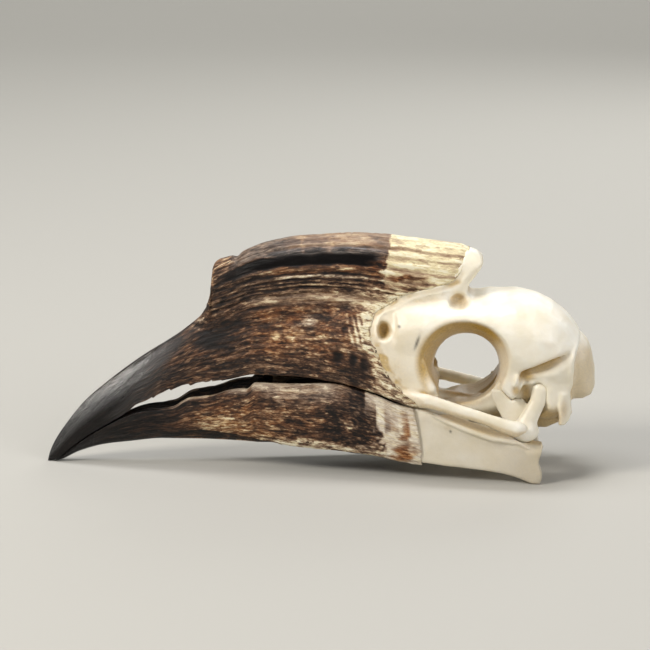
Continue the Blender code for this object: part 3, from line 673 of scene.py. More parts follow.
def skin(values, corner, grain):
    """Points and outward faces where a field passes through zero, one point in each cell that it crosses."""
    inside = values < 0
    ways = list(np.ndindex(2, 2, 2))
    size = np.array(inside.shape) - 1
    filled = sum(inside[i:size[0] + i, j:size[1] + j, k:size[2] + k].astype(np.int8) for i, j, k in ways)
    cells = np.argwhere((filled > 0) & (filled < 8))
    number = np.full(filled.shape, -1)
    number[tuple(cells.T)] = np.arange(len(cells))
    total, crossings = np.zeros((len(cells), 3)), np.zeros(len(cells))
    for a in np.array(ways):
        for axis in range(3):
            if a[axis]:
                continue
            b = a + np.eye(3, dtype=int)[axis]
            va, vb = values[tuple((cells + a).T)], values[tuple((cells + b).T)]
            cross = (va < 0) != (vb < 0)
            t = np.where(cross, va / np.where(cross, va - vb, 1), 0)
            total += cross[:, None] * (a + t[:, None] * (b - a))
            crossings += cross
    points = (cells + total / crossings[:, None]) * grain + corner
    faces = []
    for axis in range(3):
        u, v = np.eye(3, dtype=int)[(axis + 1) % 3], np.eye(3, dtype=int)[(axis + 2) % 3]
        first = [slice(1, -1)] * 3
        second = [slice(1, -1)] * 3
        first[axis], second[axis] = slice(0, -1), slice(1, None)
        base = np.array([0 if a == axis else 1 for a in range(3)])
        a, b = inside[tuple(first)], inside[tuple(second)]
        for leaving, order in ((a & ~b, (3, 2, 0, 1)), (b & ~a, (1, 0, 2, 3))):
            at = np.argwhere(leaving) + base
            around = [at, at - u, at - v, at - u - v]
            ids = [number[tuple(p.T)] for p in around]
            faces.append(np.stack([ids[o] for o in order], 1))
    return points, np.concatenate(faces)


# Every bone's field and grid, kept for finding its hollows later
fields = {}
SOFTEN, SOFTEN_ROUNDS = 0.5, 3


class Grid:
    """Evenly spaced field points over a box of the skull; a mirrored grid keeps only its +Y half."""

    def __init__(self, low, high, grain, mirrored):
        self.grain = grain
        axes = []
        for axis, (first, end) in enumerate(zip(low, high)):
            first = grain / 2 if mirrored and axis == 1 else first
            axes.append(np.arange(first, end, grain, dtype=np.float32))
        self.mirrored = mirrored
        self.s, self.y, self.z = axes
        self.at = (axes[0][:, None, None], axes[1][None, :, None], axes[2][None, None, :])
        self.corner = np.array([self.s[0], -self.y[-1] if mirrored else self.y[0], self.z[0]])

    def whole(self, values):
        """A value for every grid point, with the mirror image put before it where there is one."""
        values = np.broadcast_to(values, [len(a) for a in (self.s, self.y, self.z)])
        return np.concatenate([values[:, ::-1], values], axis=1) if self.mirrored else values

    def say(self, what, values):
        """Prints how much bone a field holds."""
        print(what, "hold", round(float((self.whole(values) < 0).sum() * self.grain ** 3 / 1000), 2), "cm3")

    def draw(self, name, values):
        """The field's skin as a mesh object, lightly smoothed."""
        points, faces = skin(self.whole(values), self.corner, self.grain)
        made = solid(name, points, faces.tolist())
        soften = made.modifiers.new("soften", "SMOOTH")
        soften.factor, soften.iterations = SOFTEN, SOFTEN_ROUNDS
        print(name, len(faces), "faces")
        fields[name] = (values, self)
        return settle(made)


# %% [markdown]
# ## The cranium, the face and the cheek bars
# On the bird this is one bone with a round dome, a blunt face that the horn sits on, and orbits that go
# right through with a crisp rim. It could be sculpted by hand, but measured outlines in a field keep
# every part in its place and blend the parts as bone does. Each cell below joins or cuts one group.

# %% Cranium outlines
CRANIUM = [(106, 51, 36, 14.5, 42), (110, 52, 34, 15.6, 42), (116, 52.8, 35, 16.6, 43),
           (122, 53.4, 36, 17.2, 44), (128, 53.5, 34, 17.8, 44), (134, 53.9, 29, 18.6, 42.5),
           (140, 54, 26.5, 19.9, 40.5), (146, 52.9, 25.5, 20.3, 39), (151, 50.7, 24.5, 19.6, 37),
           (155, 47.6, 23.5, 18.2, 35), (158, 44.4, 23.5, 16.6, 33.5), (159.6, 42.2, 24, 15.4, 33)]
CASQUE_PILLAR = [(110, 55), (116, 50), (124, 50), (126.3, 53.4), (126.1, 54.8), (126.6, 56.7), (128.6, 59.4),
                 (130.1, 61.8), (130.8, 63), (130.5, 64.4), (129, 66), (127, 67), (118, 67.6), (110, 66)]
OCCIPITAL_BULGE = [(150, 42), (157, 42.5), (160.2, 41), (162, 39.3), (163.2, 36.5), (164.1, 31.3),
                   (164.4, 26.6), (163.4, 23.9), (161, 22.6), (150, 21.5)]
SKULL_BASE = [(136, 22), (140, 17.5), (146.5, 14.2), (150, 13.9), (154.2, 16), (157.5, 19.5), (158.5, 25),
              (146, 29)]
PALATE = [(106, 13, 22, 27), (111, 12.6, 20.2, 24), (116, 12, 19, 22), (124, 10.8, 18.2, 20.8),
          (132, 9, 17.6, 20.2), (140, 6.5, 17.3, 20.2), (144, 5.5, 17.4, 21)]
ORBIT = [(0, 126.1, 31.4, 9.6, 9.8), (6, 126, 32.1, 10, 10.2), (12, 125.6, 34, 11.4, 11.2),
         (17, 125.2, 36.2, 13.1, 12.2), (21, 125, 37, 14.4, 13.4), (34, 125, 37, 15.5, 14.5)]
JUGAL = [(109, 16.6, 25), (114.8, 18.7, 24.6), (119.1, 19.6, 23.5), (124, 20.5, 22.2), (128.5, 21.2, 21.1),
         (132.8, 21.9, 19.8), (136.9, 22.4, 18.5), (140.6, 22.6, 17.4)]
JUGAL_RADII = [2.3, 2.1, 1.9, 1.8, 1.8, 1.9, 2.0, 2.4]
WING = [(143.5, 29.2), (147.2, 30), (148.5, 27.5), (149.4, 23.4), (150.2, 21.4), (152.3, 21.4),
        (153.3, 23.4), (155.1, 25.5), (157.6, 26.6), (158.6, 30), (157.4, 34.5), (153, 34), (147.5, 31.5)]
EAR_LOBE = [(153.4, 27), (158, 28), (157.6, 23), (156.5, 18.7), (155.2, 17.2), (153.2, 17.3), (153.5, 19),
            (153.2, 21), (153, 23.5)]
ORBIT_REAR = [(137.3, 40), (143, 38.5), (142.4, 33.5), (142.6, 29), (141.5, 26.5), (139.6, 24.6),
              (138.2, 25.8), (136.6, 27.6), (136.2, 29.5), (137.2, 32), (137.4, 36)]
ORBIT_BRACE = [(138, 34), (148, 34), (147, 25), (143.5, 22.5), (139.5, 24.5)]
ORBIT_FLOOR = [(122, 21.5), (127, 24.2), (131, 26.8), (135.5, 29.8), (140, 30), (141, 21.5), (132, 19),
               (124, 19)]
NUCHAL_CREST = [(20, 157.4), (26.7, 156.6), (29.4, 157.3), (35.1, 157.3), (38.5, 158.1), (41.6, 159.1),
                (44, 159.8)]
TEMPLE_EDGE = [(141.2, 32.9), (147.9, 36.3), (151.1, 37.7), (155.8, 38.9)]
TEMPLE_FLOOR = [(141, 14.6), (146, 15.9), (151, 16.2), (156, 16)]
NOSTRIL = (101.7, 44.1)
FORAMINA = [(115.6, 15.5, 51.5), (106.4, 16, 45.7)]
SLIT = [(110.9, 17.2, 38.8), (111.5, 17.2, 41.2), (112.9, 17, 44.2)]


def columns(rows):
    """One smooth line for every column of a table whose first column is the place along the line."""
    return [line([(row[0], row[k]) for row in rows]) for k in range(1, len(rows[0]))]


# %% Dome, face and pillar
BONE_START, FACE_END = 106, 118
block = Grid((96, -26, 11), (165.4, 26, 71.5), 0.42, True)
at = s, y, z = block.at

top, bottom, wide, middle = (column(s) for column in columns(CRANIUM))
above = z > middle
power = np.where(above, 2.5, 2.1)
tall = np.where(above, top - middle, middle - bottom)
across, upright = np.abs(y / wide), np.abs((z - middle) / tall)
dome = even((across ** power + upright ** power) ** (1 / power) - 1, block.grain)
dome = np.maximum(dome, BONE_START - s)

width = upper_half_width(s, z + HORN_PROUD) - HORN_PROUD
roof = upper_edge(s) + palate_depth(s) * np.clip(1 - (y / (half_width(s) - 1.8)) ** 2, 0, 1)
side_wall = even(y - width + 0 * z, block.grain)
face = np.maximum(np.maximum(side_wall, roof - z), s - FACE_END)
bone = join(dome, face, 2.0)
pillar = cut(slab(at, CASQUE_PILLAR, -8.2, 8.2, 2.6), 0.4 - side_wall, 1.5)
bone = join(bone, pillar, 2.5)
block.say("dome, face and pillar", bone)

# %% Base and palate
bone = join(bone, slab(at, SKULL_BASE, -9, 9, 3), 3)
half, low, high = (column(s) for column in columns(PALATE))
palate = np.maximum(np.maximum(y - half, low - z), z - high)
palate = np.maximum(palate, np.maximum(PALATE[0][0] - s, s - PALATE[-1][0]))
bone = join(bone, palate, 1.5)
bone = join(bone, ball(at, (149.5, 11, 25), (7, 5, 7)), 3)
block.say("with the base and the palate, they", bone)

# %% Side wing, ear lobe, and the orbit's floor and rear
wing = slab((s, y + 0.03 * np.clip(s - 149, 0, None) ** 2, z), WING, 8, 17.2, 1.8)
bone = join(bone, wing, 1.6)
bone = join(bone, slab((s, y + 0.02 * (s - 140) ** 2, z), EAR_LOBE, 7, 14.8 + 6.5, 1.2), 0.6)
bone = join(bone, slab(at, ORBIT_FLOOR, 2, 12, 2.5), 3.0)
bone = join(bone, slab(at, ORBIT_BRACE, 4, 13.2, 1.2), 1.2)
bone = join(bone, slab(at, ORBIT_REAR, 11, 17.6, 1.5), 1.2)
bone = join(bone, ball(at, (141.3, 17.7, 30.4), (1.6, 1.7, 2.5)), 0.3)
block.say("with the wings and lobes, they", bone)

# %% Temple groove and nape
temple_edge, temple_floor = line(TEMPLE_EDGE)(s), line(TEMPLE_FLOOR)(s)
sunk = temple_floor + 0.55 * (temple_edge - z) + 0.13 * np.clip(s - 149, 0, 9)
groove = np.maximum(z - temple_edge, sunk - y)
groove = np.maximum(np.maximum(groove, 142 - 0.35 * (33 - z) - s), s - 156.5)
bone = cut(bone, groove, 0.9)
nuchal = line(NUCHAL_CREST)(z)
bone = bone - 0.5 * np.exp(-((s - nuchal + 0.6) / 0.8) ** 2) * step(26, 29, z) * (1 - step(38, 42, z))
bone = cut(bone, nuchal - s, 0.35)
bulge = (s + 0.012 * y ** 2, y * (1 + 0.004 * (z - 32) ** 2), z)
bone = join(bone, slab(bulge, OCCIPITAL_BULGE, -10, 10, 4), 1.2)
block.say("with the groove and the nape, they", bone)

# %% Orbit, hollows and cheek bars
centre_s, centre_z, wide_s, tall_z = (column(y) for column in columns(ORBIT))
tunnel = even(np.sqrt(((s - centre_s) / wide_s) ** 2 + ((z - centre_z) / tall_z) ** 2) - 1, block.grain)
bone = cut(bone, tunnel, 0.35)
bone = join(bone, bar(at, [(113.4, 14.6, 37), (114.4, 15.2, 32.5), (116.2, 16.8, 28)], [0.3, 0.9, 1.3]), 1.5)
bone = cut(bone, ball(at, (123.9, 10.6, 52.8), (3.4, 5.0, 2.5)), 0.5)
bone = cut(bone, ball(at, (145.8, 19, 21.6), (4.4, 6.5, 5.4)), 0.6)
bone = cut(bone, bar(at, [(147.3, 16.4, 27.6), (146.2, 17.2, 22)], [2.2, 3.2]), 0.8)
bone = cut(bone, ball(at, (160.5, 0, 19.2), (4.2, 3.8, 4)), 0.6)
bone = join(bone, bar(at, JUGAL, JUGAL_RADII, flat=0.7), 0.9)
bone = join(bone, ball(at, (141.2, 22.3, 17.6), (3.0, 1.4, 2.0)), 0.4)
bone = join(bone, bar(at, [(112, 0, 22), (126, 0, 20.6), (140, 0, 19.5)], [2.6, 2, 2.6]), 1)
bone = join(bone, ball(at, (156.0, 0, 17.2), (1.8, 1.6, 1.5)), 0.8)
block.say("with the orbits and cheek bars, they", bone)

# %% Nostril, slit, small holes and the surface
HOLE_RADIUS = 0.42
bone = cut(bone, ball(at, (NOSTRIL[0], 14.2, NOSTRIL[1]), (2.3, 5.4, 3.05)), 0.7)
bone = cut(bone, bar(at, SLIT, [0.4, 0.6, 0.3], flat=2.5), 0.2)
for centre in FORAMINA:
    bone = cut(bone, bar(at, [centre, (centre[0], 20, centre[2])], [HOLE_RADIUS, HOLE_RADIUS]), 0.2)
bone = bone + 0.35 * dent(at, [(109.8, 17.6, 39), (110.2, 17.8, 34.5), (111.4, 18, 30)], 0.7)
bone = bone + 0.5 * dent(at, [(108, 18, 36), (110, 18, 30)], 3)
bone = bone + 0.5 * dent(at, [(105, 17, 49), (112, 17, 51)], 1.6)
bone = bone + 0.12 * wander(s / 3.5, z / 3.1, 301) + 0.05 * wander(s / 1.1, z / 0.9, 302)
lamella = np.exp(-((behind_horn(s, z) - 1.7 - 0.4 * wander(s / 3, z / 3, 305)) / 0.5) ** 2)
bone = bone - 0.45 * lamella * band(z, 41, 60, 1.5) * step(4, 7, y)
bone = np.maximum(bone, horn_edge(z) - HORN_OVERLAP - s)
skull = block.draw("Cranium", bone)

# %% [markdown]
# ## The lower jaw's bone
# On the bird it is two long thin blades that run back from under the horn, join in front in a round chin,
# and carry a ledge along the top that ends in the hollow for the joint. It is the same kind of field as
# the skull, because the blades thicken, lean and blend into the ledge without any seam.

# %% Lower jaw outlines
JAW_TOP = [(62, 22), (80, 25), (95, 23), (104, 20.8), (111.5, 21.6), (115.7, 20.4), (119, 19.8),
           (122.4, 20.1), (123.6, 20.9), (124.8, 19.6), (132, 17.2), (137, 15), (139, 14.2), (142, 12.8),
           (145, 12.3), (148.6, 12.2)]
JAW_BOTTOM = [(62, 9), (80, 7.6), (96, 6.2), (106, 5.2), (114.3, 4.9), (123.1, 4.2), (133.4, 3.3),
              (140.7, 1.9), (143.6, 0.8), (146.4, 0), (148, 0), (148.6, 2)]
JAW_THICKNESS = 2.4
jaw_top, jaw_bottom = line(JAW_TOP), line(JAW_BOTTOM)
LEDGE = [(115, 20.2), (120.3, 18.3), (127.3, 15.7), (134.3, 13.6), (138, 13.1), (141.9, 12.5),
         (144.4, 10.9)]
LEDGE_RADII = [0.2, 0.7, 0.95, 0.95, 0.8, 0.5, 0.2]
JAW_HOLE = (121.7, 15.1)
# The middle of the joint between the jaw and the right quadrate
JOINT = (143.6, 16.8, 15.5)
# In front, under the horn, the blade is lower and keeps one height
FRONT_END, FRONT_MIDDLE, FRONT_TALL = 72, 15.2, 5.8

# %% The jaw's two blades and the chin
block = Grid((60, -22, -1), (150, 22, 27), 0.4, True)
at = s, y, z = block.at
lining = (LOWER_HORN_WALL + GAP - HORN_PROUD) * np.clip((118 - s) / 12, 0, 1)
above_ledge = z - line(LEDGE)(s)
lean = 0.75 * 0.5 * (above_ledge + np.sqrt(above_ledge ** 2 + 0.3)) * step(112, 118, s)
outer = half_width(s) - HORN_PROUD - lining - np.minimum(lean, 1.9)
inner = half_width(s) - HORN_PROUD - JAW_THICKNESS - lining - 2.2 * np.clip((s - 136) / 8, 0, 1)
reach = float(half_width(start)) - LOWER_HORN_WALL - GAP - JAW_THICKNESS / 2
front = SYMPHYSIS + JAW_THICKNESS / 2
turns = np.radians(np.arange(0, 91, 6))
arc = np.array([(front + CHIN_LENGTH * (1 - math.cos(a)), reach * math.sin(a)) for a in turns])
chin = np.full((len(block.s), len(block.y), 1), np.inf)
for a, b in zip(arc[:-1], arc[1:]):
    ab = b - a
    t = np.clip(((s - a[0]) * ab[0] + (y - a[1]) * ab[1]) / (ab @ ab), 0, 1)
    chin = np.minimum(chin, np.hypot(s - a[0] - t * ab[0], y - a[1] - t * ab[1]))
chin = chin - JAW_THICKNESS / 2
sides_of_jaw = np.maximum(np.abs(y - (inner + outer) / 2) - (outer - inner) / 2, arc[-1][0] - s)
across = np.where(s < arc[-1][0], chin, sides_of_jaw)
ragged = 0.45 * wander(s / 1.3, 2.5, 311) * step(116, 119, s) * (1 - step(136, 140, s))
middle, tall = (jaw_top(s) + ragged + jaw_bottom(s)) / 2, (jaw_top(s) + ragged - jaw_bottom(s)) / 2
middle = np.where(s < FRONT_END, FRONT_MIDDLE, middle)
tall = np.where(s < FRONT_END, FRONT_TALL + 0.3 * np.clip(s - 66, 0, 6), tall)

# %% The jaw's edges, ledge, joint and hole
rounding = 0.8
a, b = across + rounding, np.abs(z - middle) - tall + rounding
jaw = np.sqrt(np.maximum(a, 0) ** 2 + np.maximum(b, 0) ** 2) + np.minimum(np.maximum(a, b), 0) - rounding
jaw = np.maximum(jaw, s - 148.4)
ledge = [(s0, float(half_width(s0)) - 0.3, z0) for s0, z0 in LEDGE]
jaw = jaw + 0.5 * dent(at, [(s0, y0 + 0.6, z0 - 3.0) for s0, y0, z0 in ledge[:-2]], 2.2)
jaw = join(jaw, bar(at, ledge, LEDGE_RADII), 0.7)
jaw = join(jaw, bar(at, [(139, 16.4, 10.2), (143.4, 15.6, 9.8), (146.6, 14.6, 9.4), (147.4, 12.4, 9.2)],
                    [2, 2.9, 2.4, 1.3]), 1)
jaw = join(jaw, bar(at, [(147.2, 18.6, 10), (147.6, 18.2, 6), (147.4, 18.4, 2)], [0.7, 0.6, 1.2]), 0.8)
jaw = cut(jaw, ball(at, (JAW_HOLE[0], 21, JAW_HOLE[1]), (0.5, 1.6, 0.5)), 0.2)
jaw = cut(jaw, np.hypot(s - 151.9, z - 6.6) - 4.3 + 0 * y, 0.5)
jaw = cut(jaw, ball(at, JOINT, (4.1, 3.8, 3.4)), 0.4)
inside_horn = y - (half_width(s) - LOWER_HORN_WALL - GAP)
jaw = np.maximum(jaw, np.minimum(lower_horn_edge(z) - 0.6 - s, inside_horn))
jaw = np.maximum(jaw + 0.08 * wander(s / 3.1, z / 2.3, 303), -z)
lower_jaw = block.draw("Lower_jaw", jaw)

# %% [markdown]
# ## Quadrates and pterygoids
# These four small bones hang the jaw on the skull and push the palate. They are worked out for the right
# side on grids of their own, with closer points because they are thin, and flipped for the left side.

# %% Quadrates and pterygoids
QUADRATE_PLATE = [(133.5, 26.6), (133.8, 24), (135.3, 21), (137.2, 17.6), (142.5, 14.8), (146, 18),
                  (145, 22), (142.6, 24.6), (140.6, 24.2), (139.4, 23.7), (138, 25.2), (136.2, 26.8)]
QUADRATE_ARM = [(143, 16.8, 16), (145, 16.4, 20), (147, 15.8, 24), (147.8, 15.2, 27.4)]
PTERYGOID = [(140.4, 11.8, 15.8), (138.2, 10.4, 15.2), (135.6, 8.8, 14.9), (132.4, 7, 15)]

block = Grid((132, 8, 11), (151, 23, 31), 0.25, False)
at = s, y, z = block.at
quadrate = ball(at, JOINT, (3.9, 3.6, 3.2))
quadrate = join(quadrate, bar(at, QUADRATE_ARM, [3.2, 2.5, 2.3, 2.5], flat=0.8), 1)
quadrate = join(quadrate, slab((s, y - 0.28 * (s - 140), z), QUADRATE_PLATE, 12.7, 14.1, 0.5), 1)
right_quadrate = block.draw("Right_quadrate", quadrate)

block = Grid((129, 4, 11), (143, 15, 19), 0.25, False)
right_pterygoid = block.draw("Right_pterygoid", bar(block.at, PTERYGOID, [1.7, 1.1, 1.2, 1.7], flat=0.7))


def flipped(item, name):
    """The same piece on the skull's other side."""
    shape = item.data.copy()
    for vertex in shape.vertices:
        vertex.co.y = -vertex.co.y
    shape.flip_normals()
    made = bpy.data.objects.new(name, shape)
    bpy.context.scene.collection.objects.link(made)
    return made


# %% [markdown]
# ## Where the horn's colours lie
# The horn is one material, keratin, but its colour changes from place to place: slate-black and polished
# at the tip, black and smooth along the casque's shoulder, cream where the casque is worn down behind,
# rust and brown in between. Painting it by hand would need an image. Instead, each vertex gets a few
# numbers: how light it is, how rusty, how grey, how polished and how speckled. They are laid on in
# layers, as a painter would, and the material turns them into streaks.

# %% Painting with numbers


def paint(marks, weight, **values):
    """Moves each named number towards a value, where the weight is above 0."""
    for name, value in values.items():
        marks[name] += np.clip(weight, 0, 1) * (value - marks[name])


def patches(marks, s, z, rows):
    """Lays on patches: S, Z, the two radii, the tilt, the strength, and what they change."""
    for centre_s, centre_z, wide, tall, turn, strength, values in rows:
        paint(marks, strength * spot(s, z, (centre_s, centre_z), (wide, tall), turn), **values)


def ragged_place(s, y, z, seed, reach=(1.6, 0.7)):
    """S and Z pushed about a little: this gives the patches uneven edges, and other ones on the far side."""
    across = step(-3, 3, y)
    apart = 5 * across
    far = wander(s / 2.6 + apart, z / 1.1, seed) + 0.5 * wander(s / 1.1, z / 0.5 + apart, seed + 1)
    up = wander(s / 3.1 + apart, z / 1.3, seed + 2) + 0.5 * wander(s / 1.3, z / 0.6 + apart, seed + 3)
    return s + reach[0] * far + 3 * across, z + reach[1] * up + 0.8 * across


def blank(piece, **values):
    """The marks of a bare horn, one number each for every vertex, before any paint."""
    return {name: np.full(len(piece.data.vertices), float(value)) for name, value in values.items()}


def keep_marks(piece, marks):
    """Writes all the marks onto the piece."""
    for name, values in marks.items():
        mark(piece, name, values)


# %% [markdown]
# ## Keratin, weathered
# Horn is layers of keratin. Worn and dried, it frays along its growth lines, so the eye sees long thin
# streaks in browns, rust and cream, matt where it is frayed and with a soft shine where it is polished.
# Noise that is stretched along the growth lines draws the streaks. Its lengths and widths are in mm,
# and the numbers painted above shift it up and down three colour ramps. The finest real fibres are about
# 0.05 mm wide, too fine to show here, so the shortest streaks are drawn 0.3 mm wide.

# %% Horn colours and patterns
BROWN = [(0.0, "#0c0a09"), (0.2, "#1f1611"), (0.4, "#3e2c1f"), (0.55, "#5c4533"), (0.7, "#907459"),
         (0.83, "#bda685"), (0.92, "#e3d5a6"), (1.0, "#f1e9cc")]
RUST = [(0.0, "#120b07"), (0.25, "#38200f"), (0.45, "#643a1f"), (0.6, "#8d5a33"), (0.75, "#b58a5c"),
        (0.9, "#dcbd90"), (1.0, "#f1dfb9")]
GREY = [(0.0, "#0e0c0d"), (0.2, "#262221"), (0.4, "#4c4640"), (0.6, "#80746a"), (0.8, "#b6a899"),
        (1.0, "#ebe3d6")]
# The pattern layers: length along the growth lines, width across them (mm), detail, and strength
STREAKS = {"long": (9, 0.7, 4, 1.05), "short": (1.9, 0.3, 5, 1.2), "medium": (3.4, 0.9, 4, 0.7),
           "patchy": (6, 2.6, 4, 0.75)}
# The same lengths and widths for the round speckles, the lifted flakes and the torn bits
SPECKLE, FLAKE, TORN = (1.5, 0.8), (1.7, 0.55), (2.4, 0.75)
# A dry horn's index of refraction, and the height of its fine relief
HORN_IOR, HORN_RELIEF = 1.55, 0.35 * MM

# %% Horn material: the streaks
keratin, tree, shader = principled("Weathered keratin", {"IOR": HORN_IOR})
flow = add(tree, "ShaderNodeAttribute", attribute_name="flow", out="Vector")
worn = {name: add(tree, "ShaderNodeAttribute", attribute_name=name, out="Fac") for name in
        ("tone", "rust", "grey", "gloss", "fleck", "calm", "sheen", "crest")}
calm = add(tree, "ShaderNodeMath", {0: worn["calm"], 1: -1.0, 2: 1.0}, operation="MULTIPLY_ADD")
layers, total = {}, 0.0
for seed, (name, (length, width, detail, strength)) in enumerate(STREAKS.items()):
    spread = add(tree, "ShaderNodeVectorMath", {0: flow, 1: per_length(length, width)}, operation="MULTIPLY")
    layers[name] = add(tree, "ShaderNodeTexNoise", {
        "Vector": spread, "W": 3.7 * seed, "Scale": 1.0, "Detail": detail, "Roughness": 0.64,
        "Distortion": 0.6}, noise_dimensions="4D")
    centred = add(tree, "ShaderNodeMath", {0: layers[name], 1: 0.5}, operation="SUBTRACT")
    total = add(tree, "ShaderNodeMath", {0: centred, 1: strength, 2: total}, operation="MULTIPLY_ADD")

# %% Horn material: speckles, flakes, pits and torn bits
spread = add(tree, "ShaderNodeVectorMath", {0: flow, 1: per_length(*SPECKLE)}, operation="MULTIPLY")
blobs = add(tree, "ShaderNodeTexVoronoi", {"Vector": spread, "Scale": 1.0, "Randomness": 1.0}, feature="F1")
speckle = add(tree, "ShaderNodeMapRange", {
    "Value": blobs, "From Min": 0.15, "From Max": 0.55, "To Min": 0.22, "To Max": -0.12})
speckle = add(tree, "ShaderNodeMath", {0: speckle, 1: worn["fleck"]}, operation="MULTIPLY")
spread = add(tree, "ShaderNodeVectorMath", {0: flow, 1: per_length(*FLAKE)}, operation="MULTIPLY")
flakes = add(tree, "ShaderNodeTexNoise", {
    "Vector": spread, "W": 31.0, "Scale": 1.0, "Detail": 5.0, "Roughness": 0.7}, noise_dimensions="4D")
lifted, pits = (
    add(tree, "ShaderNodeMapRange", {"Value": flakes, "From Min": low, "From Max": high, "To Max": most})
    for low, high, most in ((0.6, 0.75, 0.3), (0.42, 0.28, -0.24)))
spread = add(tree, "ShaderNodeVectorMath", {0: flow, 1: per_length(*TORN)}, operation="MULTIPLY")
wobble = add(tree, "ShaderNodeTexNoise", {"Vector": spread, "Scale": 1.3, "Detail": 3.0}, out="Color")
bent = add(tree, "ShaderNodeVectorMath", {0: wobble, 1: (1.1, 1.1, 1.1), 2: spread},
           operation="MULTIPLY_ADD")
torn = add(tree, "ShaderNodeTexVoronoi", {"Vector": bent, "Scale": 1.0}, out="Color")
torn = add(tree, "ShaderNodeSeparateColor", {0: torn})
chips = add(tree, "ShaderNodeMath", {0: torn, 1: 0.5}, operation="SUBTRACT")
for layer, strength in ((speckle, 1.0), (lifted, 1.0), (pits, 1.0), (chips, 0.34)):
    total = add(tree, "ShaderNodeMath", {0: layer, 1: strength, 2: total}, operation="MULTIPLY_ADD")

# %% Horn material: colour, shine and relief
level = add(tree, "ShaderNodeMath", {0: total, 1: calm, 2: worn["tone"]}, operation="MULTIPLY_ADD")
level = add(tree, "ShaderNodeMath", {0: worn["crest"], 1: 0.15, 2: level}, operation="MULTIPLY_ADD")
brown, rust, grey = (add(tree, "ShaderNodeValToRGB", {"Fac": level}, stops=stops)
                     for stops in (BROWN, RUST, GREY))
colour = brown
tints = ((rust, "rust", "patchy", 0.35, 0.62), (grey, "grey", "long", 0.3, 0.55))
for ramp, amount, layer, low, high in tints:
    share = add(tree, "ShaderNodeMapRange", {"Value": layers[layer], "From Min": low, "From Max": high})
    share = add(tree, "ShaderNodeMath", {0: worn[amount], 1: share}, operation="MULTIPLY")
    colour = add(tree, "ShaderNodeMix", {0: share, 6: colour, 7: ramp}, data_type="RGBA", out=2)
tree.links.new(colour, shader.inputs["Base Color"])
rough = add(tree, "ShaderNodeMapRange", {"Value": worn["gloss"], "To Min": 0.45, "To Max": 0.11})
rough = add(tree, "ShaderNodeMath", {0: layers["short"], 1: 0.16, 2: rough}, operation="MULTIPLY_ADD")
tree.links.new(rough, shader.inputs["Roughness"])
relief = layers["long"]
for layer, strength in ((layers["short"], 0.6), (torn, 0.5)):
    relief = add(tree, "ShaderNodeMath", {0: layer, 1: strength, 2: relief}, operation="MULTIPLY_ADD")
relief = add(tree, "ShaderNodeMath", {0: relief, 1: calm}, operation="MULTIPLY")
bump = add(tree, "ShaderNodeBump", {"Strength": 1.0, "Distance": HORN_RELIEF, "Height": relief})
tree.links.new(bump, shader.inputs["Normal"])
tree.links.new(worn["sheen"], shader.inputs["Specular IOR Level"])
print(keratin.name, "has", len(tree.nodes), "nodes")

# %% [markdown]
# ## Growth ridges
# The casque grows from behind, and each season leaves a long low ridge. The ridges repeat at 1.5 to 3 mm
# and follow the casque's arc, so a rule makes them: Geometry Nodes push each vertex out along its normal
# by a wave. The wave's place comes from an attribute that counts ridges downwards, noise makes the
# ridges waver and break, and a second, finer noise frays the surface.

# %% Ridge tree
# Depth below the growth arc (mm), and how many ridges lie above it
RIDGE_COUNT = [(-8, -2), (0, 0.1), (1.2, 0.5), (2.6, 1.5), (4.8, 2.5), (7.2, 3.5), (8.3, 4), (9.9, 4.5),
               (10.6, 5), (11.5, 5.5), (12.1, 6), (12.5, 6.5), (13.2, 7), (13.9, 7.5), (15, 8), (15.9, 8.5),
               (17.4, 9), (19.2, 9.5), (20.5, 10), (22.5, 10.7), (27, 13), (37, 18), (47, 23)]


